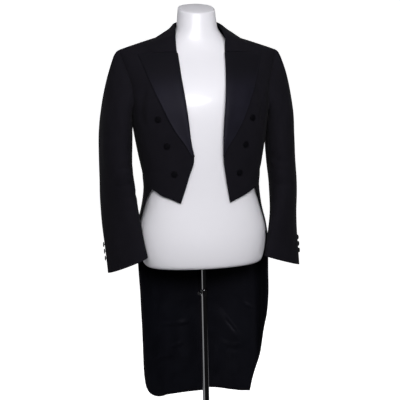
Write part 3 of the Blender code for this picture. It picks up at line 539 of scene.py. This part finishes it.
# %% [markdown]
# ## Rounding a panel
# A subdivided sheet shrinks inside its cage.  To keep the cut's real size, the cage is moved out
# by what the smooth sheet misses, a few times over, until it passes through the CAD points.  The
# corners of the cut are creased, so that a hem point or a lapel's peak stays sharp.

# %% Round a sheet through its points
CORNER = math.radians(38.0)     # a rim that turns by more than this keeps its corner


def crease_corners(mesh):
    """Creases the rim's corners."""
    with opened(mesh) as bm:
        layer = bm.verts.layers.float.get("crease_vert") or bm.verts.layers.float.new("crease_vert")
        for vertex in bm.verts:
            rim = [e for e in vertex.link_edges if e.is_boundary]
            if len(rim) == 2:
                ways = [(e.other_vert(vertex).co - vertex.co).normalized() for e in rim]
                if math.pi - ways[0].angle(ways[1]) > CORNER:
                    vertex[layer] = 1.0


def round_off(piece, levels, passes=3):
    """Rounds a sheet through its own points, and returns how far it still misses them."""
    crease_corners(piece.data)
    goal = coordinates(piece.data)
    cage = goal.copy()
    smooth = piece.modifiers.new("round", "SUBSURF")
    smooth.boundary_smooth = "PRESERVE_CORNERS"
    smooth.levels = smooth.render_levels = 1

    def shortfall():
        graph = bpy.context.evaluated_depsgraph_get()
        return goal - coordinates(piece.evaluated_get(graph).data)[:len(goal)]

    for _ in range(passes):
        cage += shortfall()
        piece.data.vertices.foreach_set("co", cage.ravel())
        piece.data.update()
    missed = float(np.abs(shortfall()).max())
    smooth.levels = smooth.render_levels = levels
    put_alone(piece)
    bpy.ops.object.modifier_apply(modifier=smooth.name)
    return missed


# %% [markdown]
# ## Folds
# Cloth that hangs from a form creases where it is held or pushed: behind the armhole, inside the
# elbow, at the waist.  Each fold is a row of a short table.  A trough throws up a low ridge beside
# it.  The armhole seam holds the cloth still, or a fold on one side of it would open it.

# %% Find the armhole seams
SEAM_REACH = 0.003          # a sleeve's points nearer the body than this lie on its seam
SEAM_STEPS = 4              # points along each edge of the seam
BATCH = 1000                # points measured at a time


def softened(value):
    value = np.clip(value, 0.0, 1.0)
    return value * value * (3.0 - 2.0 * value)


def distance_to(others, points):
    """The distance from each point to the nearest of the others."""
    found = np.empty(len(points))
    for start in range(0, len(points), BATCH):
        batch = points[start:start + BATCH, None]
        found[start:start + BATCH] = np.linalg.norm(batch - others[None], axis=2).min(1)
    return found


def armhole_line(side):
    """Points along the seam where a sleeve is set into the body, from the CAD panels round it."""
    body = np.concatenate([coordinates(frame["nodes"][f"{part}_{side}"].data)
                           for part in ("forepart", "side_body", "back")])
    line = []
    for part in ("top_sleeve", "under_sleeve"):
        mesh = frame["nodes"][f"{part}_{side}"].data
        points = coordinates(mesh)
        near = distance_to(body, points) < SEAM_REACH
        for start, end in (edge.vertices for edge in mesh.edges):
            if near[start] and near[end]:
                way = points[end] - points[start]
                line += [points[start] + way * step / SEAM_STEPS for step in range(SEAM_STEPS)]
    return np.array(line)


armhole = np.concatenate([armhole_line(side) for side in SIDES])
print("armhole seams", len(armhole), "points")

# %% Press folds into a sheet
SEAM_HOLD = 0.022           # how far the seam holds the cloth beside it
ARMHOLE_INNER = 0.1         # no armhole is nearer the centre than this
FOLD_FADE = 0.3             # the share of a fold's length over which an end fades
RIDGE_HEIGHT = 0.32         # the ridge beside a trough, as a share of the trough's depth
RIDGE_ASIDE = 1.6           # and its place, in the trough's half widths
# columns: share, then for two waves the turns across and up the cloth, and where they start
WANDER_WAVES = (
    (1.0, 23.0, 9.0, 1.3, -11.0, 31.0, 0.4),
    (0.6, 57.0, -21.0, 2.1, 0.0, 44.0, 0.9))


def eased(points):
    """0 on an armhole seam, rising to 1 a little way from it."""
    share = np.ones(len(points))
    lowest = armhole[:, 2].min() - SEAM_HOLD
    near = (np.abs(points[:, 0]) > ARMHOLE_INNER) & (points[:, 2] > lowest)
    share[near] = softened(distance_to(armhole, points[near]) / SEAM_HOLD)
    return share


def trough_of(across, up_cloth, around, fold):
    """A fold's depth at each place: 1 along its middle, and below 0 on the ridge beside it."""
    start_across, start_up, end_across, end_up, bow, half_width = fold
    run = np.array([end_across - start_across, end_up - start_up])
    length = np.linalg.norm(run)
    run /= length
    from_start = across - start_across
    if around:
        from_start = (from_start + around / 2) % around - around / 2
    rise = up_cloth - start_up
    share = (from_start * run[0] + rise * run[1]) / length
    aside = from_start * run[1] - rise * run[0] - bow * 4.0 * share * (1.0 - share)
    fade = softened(share / FOLD_FADE) * softened((1.0 - share) / FOLD_FADE)
    trough = np.exp(-(aside / half_width) ** 2)
    ridge = np.exp(-((aside - RIDGE_ASIDE * half_width) / half_width) ** 2)
    return (trough - RIDGE_HEIGHT * ridge) * fade


def press(piece, chart, folds, wander=0.0, forward_only=False):
    """Moves a sheet's points along its normals, in by each fold's depth."""
    mesh = piece.data
    points = coordinates(mesh)
    across, up_cloth, around = chart(points)
    move = np.zeros(len(points))
    for *fold, depth in folds:
        move -= depth * trough_of(across, up_cloth, around, fold)
    for share, a, b, c, d, e, f in WANDER_WAVES:
        waves = np.sin(a * across + b * up_cloth + c) * np.sin(d * across + e * up_cloth + f)
        move += wander * share * waves
    if forward_only:
        move = np.maximum(move, 0.0)
    move *= eased(points)
    points += coordinates(mesh, "normal") * move[:, None]
    mesh.vertices.foreach_set("co", points.ravel())
    mesh.update()
    return float(np.abs(move).max())


# %% [markdown]
# ## Giving the sheet its thickness
# The CAD panels stand a little apart at their seams, and sewn cloth doesn't, so the rim is let
# out until the panels meet.  Solidify makes the wall again behind the finished skin, so that a
# fold shows on both faces, and a small bevel turns the cut edge into a pressed one.

# %% Finish a cloth piece
LET_OUT = 0.00028           # metres, with 0.3 mm between CAD panels
PRESSED = 0.10              # the pressed edge's width, as a share of the wall


def let_out(mesh):
    """Moves a sheet's rim outwards along the sheet itself."""
    with opened(mesh) as bm:
        bm.normal_update()
        ways = {}
        for edge in bm.edges:
            if edge.is_boundary:
                face = edge.link_faces[0]
                start, end = (v.co for v in edge.verts)
                way = (end - start).cross(face.normal).normalized()
                if way.dot((start + end) / 2 - face.calc_center_median()) < 0.0:
                    way.negate()
                for vertex in edge.verts:
                    ways[vertex] = ways.get(vertex, Vector()) + way
        for vertex, way in ways.items():
            vertex.co += way.normalized() * LET_OUT


def give_wall(piece, wall):
    apply_modifier(piece, "SOLIDIFY", thickness=wall, offset=-1.0)
    apply_bevel(piece, PRESSED * wall, 2, 50.0, 50.0)


def dress(piece, node, body="figure"):
    """Puts a finished piece on its body, in place of its CAD node."""
    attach(piece, body)
    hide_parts(node)


# %% [markdown]
# ## Maps of the coat
# A fold's place is easiest to name on the cloth.  On the body it is the angle round from the
# centre front and the level, on a sleeve the angle round the arm, and on a tail's lining, which
# is seen from the front, the distance sideways.

# %% Chart the cloth
BODY_MIDDLE_Y = 0.012
BODY_REACH = 0.155          # metres of cloth for each radian round the body
ARM_X, ARM_Y = 0.241, 0.018
ARM = {side: Vector((across, ARM_Y, 0.0)) for side, across in (("left", ARM_X), ("right", -ARM_X))}
ARM_REACH = 0.058
ELBOW_TOP = 1.12            # below this level the arm bends forward
ELBOW_SPAN = 0.22
ARM_SWING = 0.058           # how far forward the cuff comes


def outward_from(middle):
    """The level way out from an upright axis."""
    return lambda point: Vector((point.x - middle.x, point.y - middle.y, 0.0)).normalized()


body_outward = outward_from(Vector((0.0, BODY_MIDDLE_Y, 0.0)))


def body_chart(points):
    angle = np.arctan2(np.abs(points[:, 0]), BODY_MIDDLE_Y - points[:, 1])
    return angle * BODY_REACH, points[:, 2], 0.0


def arm_chart(side):
    """Angle round the arm from its front, growing towards the outside."""
    def chart(points):
        level = points[:, 2]
        middle_y = ARM[side].y - ARM_SWING * softened((ELBOW_TOP - level) / ELBOW_SPAN)
        outside = (points[:, 0] - ARM[side].x) * math.copysign(1.0, ARM[side].x)
        angle = np.arctan2(outside, middle_y - points[:, 1])
        return angle * ARM_REACH, level, TURN * ARM_REACH
    return chart


def front_chart(points):
    return points[:, 0], points[:, 2], 0.0


def degrees_round(reach, *rows):
    """Table rows whose places are degrees round a body or an arm, as metres of cloth."""
    return [(math.radians(a) * reach, z, math.radians(b) * reach, y, *rest) for a, z, b, y, *rest in rows]


# %% [markdown]
# ## The sleeves
# A sleeve is cut in two: a wide top sleeve and a narrow under sleeve.  The arm's bend pushes
# short creases into the inside of the elbow, and the sleeve's head drops a long soft fold down
# from the armhole.  The two arms don't crease alike.

# %% Place the folds of the sleeves
ARM_WANDER = 0.0005         # the height of slow waves over the whole sleeve
# columns: degrees and level at the start, degrees and level at the end, bow, half width, depth
ARM_FOLDS = {}
ARM_FOLDS["left"] = degrees_round(
    ARM_REACH,
    (-60, 1.205, 25, 1.18, 0.008, 0.0095, 0.0024), (-75, 1.165, 10, 1.15, -0.006, 0.008, 0.0021),
    (-50, 1.125, 35, 1.118, 0.007, 0.009, 0.0019), (-80, 1.085, 0, 1.075, 0.004, 0.0075, 0.0012),
    (150, 1.19, 215, 1.15, 0.006, 0.011, 0.0016), (140, 1.12, 200, 1.105, -0.005, 0.009, 0.0011),
    (20, 1.4, -20, 1.26, 0.006, 0.013, 0.0018), (150, 1.39, 175, 1.27, -0.005, 0.014, 0.002),
    (60, 1.33, 95, 1.2, 0.008, 0.015, 0.001), (-100, 1.27, -60, 1.215, 0.003, 0.009, 0.0018),
    (-52, 1.425, -60, 1.285, 0.003, 0.0085, 0.0044), (-70, 1.3, -64, 1.15, -0.003, 0.0085, 0.0026),
    (10, 0.985, 80, 0.965, 0.004, 0.011, 0.001))
ARM_FOLDS["right"] = degrees_round(
    ARM_REACH,
    (-70, 1.19, 20, 1.17, -0.007, 0.009, 0.0022), (-55, 1.15, 30, 1.128, 0.006, 0.0085, 0.0023),
    (-75, 1.108, 5, 1.1, 0.005, 0.008, 0.0016), (-45, 1.06, 30, 1.05, -0.004, 0.008, 0.001),
    (145, 1.175, 210, 1.16, -0.006, 0.01, 0.0014), (150, 1.235, 205, 1.215, 0.004, 0.011, 0.0012),
    (25, 1.395, -10, 1.25, -0.006, 0.014, 0.002), (155, 1.4, 170, 1.29, 0.006, 0.013, 0.0018),
    (75, 1.3, 70, 1.165, -0.006, 0.016, 0.0011), (-105, 1.255, -55, 1.2, -0.004, 0.0095, 0.0016),
    (-50, 1.42, -62, 1.27, 0.003, 0.0085, 0.005),
    (30, 0.96, 95, 0.975, -0.004, 0.01, 0.0009))

# %% Sew the sleeves
WOOL = (0.002, wool, "wool")        # wall, finish, slot
WOOL_LEVELS = 3                     # subdivision levels of a wool panel


def sew(node, cloth, outward, presses, levels=WOOL_LEVELS, inner=False):
    wall, paint, slot = cloth
    piece = skin_of(node, f"{node}_cloth", wall, outward, inner)
    width, length, area = lay_flat(piece)
    missed = round_off(piece, levels)
    deepest = max(press(piece, *pressing) for pressing in presses)
    let_out(piece.data)
    give_wall(piece, wall)
    coat(piece, paint)
    dress(piece, node)
    print(f"{node:20s} cut {width:.3f} x {length:.3f} m, {area:.4f} m2, missed by {missed * 1000:.2f} mm,"
          f" folds to {deepest * 1000:.1f} mm, {len(piece.data.polygons)} faces")


for side in SIDES:
    for part in ("top_sleeve", "under_sleeve"):
        sew(f"{part}_{side}", WOOL, outward_from(ARM[side]),
            [(arm_chart(side), ARM_FOLDS[side], ARM_WANDER)])

# %% [markdown]
# ## The body panels
# These panels share one map, so a fold that crosses a seam runs on through the next panel.

# %% Sew the fronts, side bodies, backs and skirts
BODY_WANDER = 0.0004
# columns as in ARM_FOLDS
BODY_FOLDS = {}
BODY_FOLDS["left"] = degrees_round(
    BODY_REACH,
    (64, 1.44, 68, 1.29, 0.004, 0.0095, 0.0034), (48, 1.16, 75, 1.19, 0.005, 0.012, 0.001),
    (66, 1.15, 95, 1.165, -0.004, 0.01, 0.0012), (80, 1.215, 112, 1.19, 0.005, 0.012, 0.001),
    (118, 1.45, 124, 1.3, -0.008, 0.015, 0.0024), (134, 1.42, 136, 1.29, 0.006, 0.016, 0.0015),
    (125, 1.165, 172, 1.15, 0.006, 0.013, 0.0013), (135, 1.205, 178, 1.212, -0.005, 0.014, 0.001),
    (150, 1.52, 178, 1.5, -0.006, 0.012, 0.0012),
    (100, 0.9, 104, 0.64, 0.012, 0.02, 0.002), (128, 0.98, 124, 0.56, -0.01, 0.022, 0.0022),
    (150, 0.84, 153, 0.52, 0.008, 0.018, 0.0018), (168, 0.76, 170, 0.5, -0.004, 0.016, 0.0012))
BODY_FOLDS["right"] = degrees_round(
    BODY_REACH,
    (65, 1.425, 68, 1.29, -0.004, 0.0095, 0.0036), (45, 1.175, 72, 1.16, -0.005, 0.011, 0.0011),
    (64, 1.2, 92, 1.18, 0.004, 0.012, 0.0009), (84, 1.16, 116, 1.15, -0.005, 0.01, 0.0012),
    (117, 1.445, 121, 1.31, 0.008, 0.014, 0.0022), (133, 1.43, 139, 1.28, -0.006, 0.015, 0.0016),
    (130, 1.15, 170, 1.168, -0.006, 0.012, 0.0012), (140, 1.225, 176, 1.205, 0.005, 0.013, 0.0009),
    (152, 1.515, 179, 1.505, 0.006, 0.012, 0.0011),
    (106, 0.92, 112, 0.6, -0.012, 0.021, 0.0021), (134, 0.96, 130, 0.54, 0.01, 0.02, 0.0019),
    (157, 0.8, 158, 0.5, -0.008, 0.018, 0.0017))

for side in SIDES:
    for part in ("forepart", "side_body", "back", "skirt"):
        sew(f"{part}_{side}", WOOL, body_outward, [(body_chart, BODY_FOLDS[side], BODY_WANDER)])

# %% [markdown]
# ## The tail linings
# The satin inside a tail follows the wool, and it is eased in, a little longer, so it wrinkles.
# All its own folds stand towards the front, away from the wool behind it.

# %% Sew the tail linings
LINING = (0.001, lining, "lining")
LINING_LEVELS = 4
LINING_WANDER = 0.0006
# columns: across and level at the start, across and level at the end, bow, half width, depth
LINING_FOLDS = {}
LINING_FOLDS["right"] = [
    (-0.122, 0.684, -0.016, 0.676, 0.006, 0.006, -0.003), (-0.034, 0.74, -0.03, 0.5, -0.006, 0.016, -0.002),
    (-0.155, 0.566, -0.07, 0.572, -0.006, 0.008, -0.0024), (-0.08, 0.78, -0.086, 0.54, 0.006, 0.03, -0.006),
    (-0.178, 0.64, -0.16, 0.5, 0.01, 0.012, -0.003), (-0.13, 0.56, -0.07, 0.5, 0.008, 0.014, -0.0024),
    (-0.09, 0.606, -0.04, 0.612, 0.004, 0.006, -0.0024)]
LINING_FOLDS["left"] = [
    (0.15, 0.583, 0.04, 0.733, -0.002, 0.02, -0.003), (0.123, 0.632, 0.086, 0.684, 0.0, 0.0036, 0.002),
    (0.062, 0.61, 0.145, 0.604, 0.012, 0.009, -0.0024), (0.026, 0.62, 0.024, 0.49, 0.004, 0.008, -0.003),
    (0.056, 0.605, 0.054, 0.49, -0.004, 0.01, -0.0034), (0.112, 0.6, 0.108, 0.49, 0.006, 0.016, -0.0036),
    (0.14, 0.734, 0.181, 0.715, 0.004, 0.0045, -0.0024), (0.15, 0.9, 0.14, 0.7, 0.008, 0.018, -0.0022)]

for side in SIDES:
    wool_behind = [(*fold, -depth) for *fold, depth in BODY_FOLDS[side]]
    sew(f"tail_lining_{side}", LINING, body_outward,
        [(body_chart, wool_behind, -BODY_WANDER), (front_chart, LINING_FOLDS[side], LINING_WANDER, True)],
        LINING_LEVELS, inner=True)

# %% [markdown]
# ## Lapels and collar
# The lapels turn back from the roll, pressed flat, and share the folds of the body below them.
# The collar's leaf lies over its stand, is pressed down along its edge over the shoulders, and
# meets the lapels at the gorge.

# %% Sew the lapels and the collar
SATIN = (0.002, facing, "satin")
FLAT_WANDER = 0.0002
NECK_MIDDLE = Vector((0.0, 0.030, 1.50))
NECK_TILT = 0.3             # the collar faces up a little as well as out
LEAF_EDGE = degrees_round(BODY_REACH, (68, 1.486, 108, 1.554, 0.0, 0.0120, 0.0019))


def neck_outward(point):
    way = point - NECK_MIDDLE
    return Vector((way.x, way.y, NECK_TILT * way.z)).normalized()


for side in SIDES:
    sew(f"lapel_{side}", SATIN, body_outward, [(body_chart, BODY_FOLDS[side], FLAT_WANDER)])
sew("collar_leaf", WOOL, neck_outward, [(body_chart, LEAF_EDGE, FLAT_WANDER)])
sew("collar_stand", WOOL, neck_outward, [(body_chart, [])])

# %% [markdown]
# ## Buttons
# Evening buttons are covered in cloth: a shallow dome drawn over a disc, with its edge gathered
# into a hollow at the back.  A shank of thread holds it off the coat.  One of each size is made at
# the origin and copied to its CAD seats.

# %% Cover a button
FRONT_RADIUS = 0.0090
CUFF_RADIUS = 0.0072
# columns: how far in and how far up a step goes, as shares of the button's radius
DOME_STEPS = ((0.07, 0.075), (0.16, 0.055), (0.26, 0.025), (0.26, 0.005))
GATHERED_STEPS = ((0.10, -0.01), (0.20, 0.02), (0.10, 0.05))
RIM_SHARE = 0.26            # the disc's thickness, as a share of its radius
THREAD_SHARE = 0.22         # and the thread's radius
THREAD_LENGTH = 0.0017


def cover_button(radius):
    """A domed disc, gathered at the back."""
    rim = RIM_SHARE * radius
    button = new_cylinder(radius, rim, (0.0, 0.0, 0.02 * radius + rim / 2), 32)
    with editing(button):
        for up_or_down, steps in ((1.0, DOME_STEPS), (-1.0, GATHERED_STEPS)):
            pick(button, "FACE", lambda face: face.normal.z * up_or_down > 0.9)
            for inset, rise in steps:
                bpy.ops.mesh.inset(thickness=inset * radius)
                bpy.ops.transform.translate(value=(0.0, 0.0, rise * radius))
    apply_modifier(button, "SUBSURF", levels=2, render_levels=2)
    bpy.ops.object.shade_smooth()
    coat(button, cover)
    return button


def wind_thread(radius):
    """The wound shank between a button and the coat."""
    shank = new_cylinder(THREAD_SHARE * radius, THREAD_LENGTH, (0.0, 0.0, -0.00035), 16)
    apply_bevel(shank, 0.0002, 1)
    coat(shank, thread)
    return shank


# %% Sew the buttons on
def seat_of(node, outward):
    """Where a CAD button sits: its own axis as Z, on the middle of its flat back."""
    points = coordinates(frame["nodes"][node].data)
    centre = points.mean(0)
    normal = Vector(np.linalg.svd(np.unique(points.round(6), axis=0) - centre)[2][2])
    if normal.dot(outward(Vector(centre))) < 0:
        normal = -normal
    back_level = min(normal.dot(Vector(p)) for p in points)
    seat = Vector((0.0, 0.0, 1.0)).rotation_difference(normal).to_matrix().to_4x4()
    seat.translation = Vector(centre) + normal * (back_level - normal.dot(Vector(centre)))
    return seat


def sew_buttons(nodes, radius, outward_of):
    button, shank = cover_button(radius), wind_thread(radius)
    for node in nodes:
        seat = seat_of(node, outward_of(node))
        for pattern, name in ((button, f"{node}_sewn"), (shank, f"{node}_thread")):
            mesh = pattern.data.copy()
            mesh.transform(seat)
            piece = new_piece(name, mesh)
            if pattern is button:
                dress(piece, node)
            else:
                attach(piece, "figure")
    print(len(nodes), "buttons of radius", radius, "with", len(button.data.polygons), "faces")
    bpy.data.objects.remove(button)
    bpy.data.objects.remove(shank)


def cuff_outward(node):
    side = "left" if "left" in node else "right"
    return outward_from(ARM[side] - Vector((0.0, ARM_SWING, 0.0)))


body_buttons = [f"front_button_{side}_{number}" for side in SIDES for number in (1, 2, 3)]
body_buttons += [f"back_button_{side}" for side in SIDES]
cuff_buttons = [f"cuff_button_{side}_{number}" for side in SIDES for number in (1, 2, 3)]
sew_buttons(body_buttons, FRONT_RADIUS, lambda node: body_outward)
sew_buttons(cuff_buttons, CUFF_RADIUS, cuff_outward)

# %% [markdown]
# ## The dress form
# The form is a moulded shell under gloss paint, so it has to be smooth: its CAD rings are rounded
# in the same way as the cloth.  The neck ends in a cap, and the pole enters a socket below.

# %% Mould the form
POLE_BORE = 0.0083
NECK_TOP = 1.605            # the neck's flat end is above this level
form_low, form_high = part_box("dress_form")


def not_shell(face):
    """True on the form's flat bottom, its socket and the flat end of its neck."""
    middle = face.calc_center_median()
    on_neck = face.normal.z > 0.9 and all(v.co.z > NECK_TOP for v in face.verts)
    return middle.z < form_low.z + 0.0002 or middle.xy.length < 1.2 * POLE_BORE or on_neck


mesh = frame["nodes"]["dress_form"].data.copy()
mesh.name = "form_shell"
with opened(mesh) as bm:
    bmesh.ops.remove_doubles(bm, verts=bm.verts, dist=MERGED)
    bmesh.ops.delete(bm, geom=[f for f in bm.faces if not_shell(f)], context="FACES")
    bmesh.ops.delete(bm, geom=[v for v in bm.verts if not v.link_faces], context="VERTS")
shell = new_piece("form_shell", mesh)
with editing(shell):
    bpy.ops.mesh.tris_convert_to_quads(face_threshold=math.radians(60), topology_influence=1.5,
                                       shape_threshold=math.radians(100))
odd = sum(len(f.vertices) != 4 for f in mesh.polygons)
missed = round_off(shell, 2, passes=2)
print("form rings", len(mesh.polygons), "faces,", odd, "odd, missed by", round(missed * 1000, 2), "mm")

# %% [markdown]
# ## Closing the form
# The shell is open at both ends after rounding.  The neck gets a shallow recess that its cap sits
# in, and the bottom a flat plate with a bore for the pole.

# %% Close the form
# columns: how far in and how far out a step goes
NECK_SEAT = ((0.0022, 0.0), (0.0004, -0.0012))
BOTTOM_PLATE = ((0.006, 0.0), (0.001, -0.0006))
SOCKET_DEPTH = 0.090
middle_level = (form_low.z + form_high.z) / 2


def close_rim(piece, at_top, steps):
    """Fills an open rim and takes the new face inward and along its normal, step by step."""
    with editing(piece):
        pick(piece, "EDGE", lambda e: e.is_boundary and (e.verts[0].co.z > middle_level) == at_top)
        bpy.ops.mesh.edge_face_add()
        bpy.ops.mesh.select_mode(type="FACE")
        for inset, rise in steps:
            bpy.ops.mesh.inset(thickness=inset, depth=rise)


with opened(shell.data) as bm:
    neck_rim = [v.co.copy() for v in bm.verts if v.is_boundary and v.co.z > middle_level]
close_rim(shell, True, NECK_SEAT)
close_rim(shell, False, BOTTOM_PLATE)
cut_away(shell, new_cylinder(POLE_BORE, 2 * SOCKET_DEPTH, (0.0, 0.0, form_low.z)))
bpy.ops.object.shade_smooth_by_angle(angle=math.radians(32.0))
coat(shell, gloss)
dress(shell, "dress_form")
print("form closed:", len(shell.data.polygons), "faces")

# %% Set the neck's cap
CAP_SHARE = 0.945           # of the neck's width
CAP_THICKNESS = 0.0011

middle = sum(neck_rim, Vector()) / len(neck_rim)
neck_rim.sort(key=lambda p: math.atan2(p.y - middle.y, p.x - middle.x))
mesh = bpy.data.meshes.new("neck_cap")
mesh.from_pydata([middle + (p - middle) * CAP_SHARE for p in neck_rim], [], [range(len(neck_rim))])
cap = new_piece("neck_cap", mesh)
with editing(cap):
    bpy.ops.mesh.extrude_region_move(TRANSFORM_OT_translate={"value": (0.0, 0.0, -CAP_THICKNESS)})
    bpy.ops.mesh.select_all(action="SELECT")
    bpy.ops.mesh.normals_make_consistent(inside=False)
apply_bevel(cap, 0.0005, 3)
coat(cap, cap_paint)
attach(cap, "figure")
print("cap:", len(mesh.polygons), "faces")

# %% [markdown]
# ## The stand
# Two chromed tubes slide in each other, a ring with a thumb screw clamps them, and a round plate
# carries them.  Their CAD solids have few sides, so each is turned again with many.

# %% Turn the tubes
UPPER_RADIUS, LOWER_RADIUS = 0.0080, 0.0098
TUBE_WALL = 0.0014


def finish_steel(piece, name, node, body):
    piece.name = piece.data.name = name
    coat(piece, steel)
    dress(piece, node, body)


def tube(name, node, outer, body):
    """A round tube as long as its CAD node."""
    low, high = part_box(node)
    length, middle = high.z - low.z, (0.0, 0.0, (low.z + high.z) / 2)
    piece = new_cylinder(outer, length, middle, 64)
    cut_away(piece, new_cylinder(outer - TUBE_WALL, length + 0.01, middle, 64))
    apply_bevel(piece, 0.0003, 2, smooth=15.0)
    finish_steel(piece, name, node, body)


tube("upper_tube_chromed", "upper_tube", UPPER_RADIUS, "mast")
tube("lower_tube_chromed", "lower_tube", LOWER_RADIUS, "stand")

# %% Turn the clamp ring
RING_BORE = 0.0101
THREAD_BORE = 0.0025
SCREW_WAY = math.radians(215.0)
HOLE_OUT = 0.0118           # the threaded hole's middle, from the pole's axis
ring_low, ring_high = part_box("clamp_collar")
ring_level = (ring_low.z + ring_high.z) / 2


def point_out(piece, distance):
    """Lays a piece's Z axis level, along the screw's way, at a distance from the pole's axis."""
    spot = (distance * math.cos(SCREW_WAY), distance * math.sin(SCREW_WAY), ring_level)
    piece.data.transform(Matrix.Translation(spot) @ Matrix.Rotation(SCREW_WAY, 4, "Z")
                         @ Matrix.Rotation(math.pi / 2, 4, "Y"))


middle = (0.0, 0.0, ring_level)
ring = new_cylinder((ring_high.x - ring_low.x) / 2, ring_high.z - ring_low.z, middle, 96)
cut_away(ring, new_cylinder(RING_BORE, 0.04, middle, 64))
hole = new_cylinder(THREAD_BORE, 0.012, (0.0, 0.0, 0.0), 24)
point_out(hole, HOLE_OUT)
cut_away(ring, hole)
apply_bevel(ring, 0.0007, 3)
finish_steel(ring, "clamp_ring", "clamp_collar", "stand")

# %% Turn the thumb screw
HEAD_RADIUS, HEAD_LENGTH = 0.0050, 0.0085
HEAD_OUT = 0.0131           # where the head starts, from the pole's axis
SHANK_RADIUS, SHANK_LENGTH = 0.0022, 0.0048
GROOVE_STEP = 20            # degrees between the head's grooves
GROOVE_SHARE = 0.93         # a groove's radius, as a share of the head's


def on_groove(edge):
    """True on an upright edge at one of the grooves."""
    start, end = (v.co for v in edge.verts)
    upright = edge.calc_length() > HEAD_LENGTH / 2 and abs((start - end).normalized().z) > 0.9
    return upright and round(math.degrees(math.atan2(start.y, start.x))) % GROOVE_STEP == 0


head = new_cylinder(HEAD_RADIUS, HEAD_LENGTH, (0.0, 0.0, HEAD_LENGTH / 2), 36)
with editing(head):
    pick(head, "FACE", lambda face: abs(face.normal.z) < 0.1)
    bpy.ops.mesh.inset(thickness=0.0007, use_individual=False)
    pick(head, "EDGE", on_groove)
    bpy.ops.transform.resize(value=(GROOVE_SHARE, GROOVE_SHARE, 1.0))
apply_bevel(head, 0.0002, 1, 50.0)
shank = new_cylinder(SHANK_RADIUS, SHANK_LENGTH, (0.0, 0.0, -0.0023), 24)
put_alone(head)
shank.select_set(True)
bpy.ops.object.join()
point_out(head, HEAD_OUT)
finish_steel(head, "knurled_screw", "thumb_screw", "screw")

# %% Turn the base plate
low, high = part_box("stand_base")
thickness = high.z - low.z
plate = new_cylinder((high.x - low.x) / 2, thickness, (0.0, 0.0, thickness / 2), 160)
apply_bevel(plate, 0.002, 5)
finish_steel(plate, "base_plate", "stand_base", "stand")
print("stand turned")

# %% [markdown]
# ## Studio
# The pale floor and backdrop throw no light.  A broad key light stands high in front with a weak
# one overhead, and a low window gives the form and the satin their highlights.  Weak fills stand
# at the sides, a panel shows only in shiny things such as the pole, and two lights behind draw
# the edges of the sleeves.  The room looks white, but lights the cloth mostly from below and behind.

# %% Set the floor and the backdrop
STUDIO_SIZE = 16.0
pale = Paint("pale_studio", base_color=(0.8, 0.8, 0.8, 1.0), roughness=1.0, specular_ior_level=0.0,
             emission_color=(1.0, 1.0, 1.0, 1.0), emission_strength=0.95)
for name, spot, turn in (("floor", (0.0, 0.0, -0.0004), 0.0), ("backdrop", (0.0, 6.0, 0.0), math.pi / 2)):
    bpy.ops.mesh.primitive_plane_add(size=STUDIO_SIZE, location=spot, rotation=(turn, 0.0, 0.0))
    surface = bpy.context.object
    surface.name = f"studio_{name}"
    coat(surface, pale)
    surface.visible_diffuse = surface.visible_glossy = False
    surface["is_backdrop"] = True

# %% Light the coat
def soft_light(name, spot, aim_level, width, height, power, shape="RECTANGLE", diffuse=True, glossy=False):
    """An area light that looks at a level on the pole's axis, and isn't seen."""
    data = bpy.data.lights.new(name, "AREA")
    data.shape = shape
    data.size, data.size_y = width, height
    data.energy = power
    light = new_piece(name, data)
    light.location = spot
    light.rotation_euler = (Vector((0.0, 0.0, aim_level)) - Vector(spot)).to_track_quat("-Z", "Y").to_euler()
    light.visible_camera = False
    light.visible_diffuse = diffuse
    light.visible_glossy = glossy


soft_light("key", (-0.12, -2.4, 2.25), 1.25, 2.8, 1.2, 50.0, "ELLIPSE")
soft_light("overhead", (0.0, -0.9, 3.3), 1.3, 2.0, 1.2, 5.0, "ELLIPSE")
soft_light("low_window", (-0.22, -2.7, 2.02), 1.3, 1.9, 0.62, 28.0, "ELLIPSE", glossy=True)
soft_light("fill_left", (-2.3, -1.2, 1.5), 1.2, 1.2, 1.6, 1.2)
soft_light("fill_right", (2.3, -1.2, 1.5), 1.2, 1.2, 1.6, 1.5)
soft_light("side_panel", (-2.2, -0.75, 0.0), 0.7, 1.9, 1.2, 2.5, diffuse=False, glossy=True)
for side, across in (("left", 1.7), ("right", -1.7)):
    soft_light(f"behind_{side}", (across, 2.2, 1.9), 1.1, 1.2, 1.8, 24.0)

# %% Fill the room
SEEN_GLOW = 1.1             # strengths of the world: seen by the camera,
DARK_GLOW = 0.008           # ahead of the piece,
GROUND_GLOW = 0.045         # below it
BEHIND_GLOW = 0.36          # and behind it

world = bpy.data.worlds.new("studio_air")
world.use_nodes = True
air = Graph(world.node_tree)
_, ahead, height = air.axes(air.node("ShaderNodeTexCoord"))
below = air.swell(height, -0.35, -0.85, GROUND_GLOW)
around = air.swell(ahead, 0.10, 0.60, BEHIND_GLOW)
seen = air.node("ShaderNodeLightPath")
background = air.tree.nodes["Background"].inputs
air.feed(background["Strength"], seen * SEEN_GLOW + (1.0 - seen) * (below + around + DARK_GLOW))
air.feed(background["Color"], (1.0, 1.0, 1.04, 1.0))
bpy.context.scene.world = world
bpy.context.scene.view_settings.view_transform = "Standard"
bpy.context.scene.view_settings.look = "None"
print("studio lit")

# %% [markdown]
# ## The size
# The dressed model's box is measured. The dressed model has to stay in the CAD model's
# box.

# %% Measure the size
low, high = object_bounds()
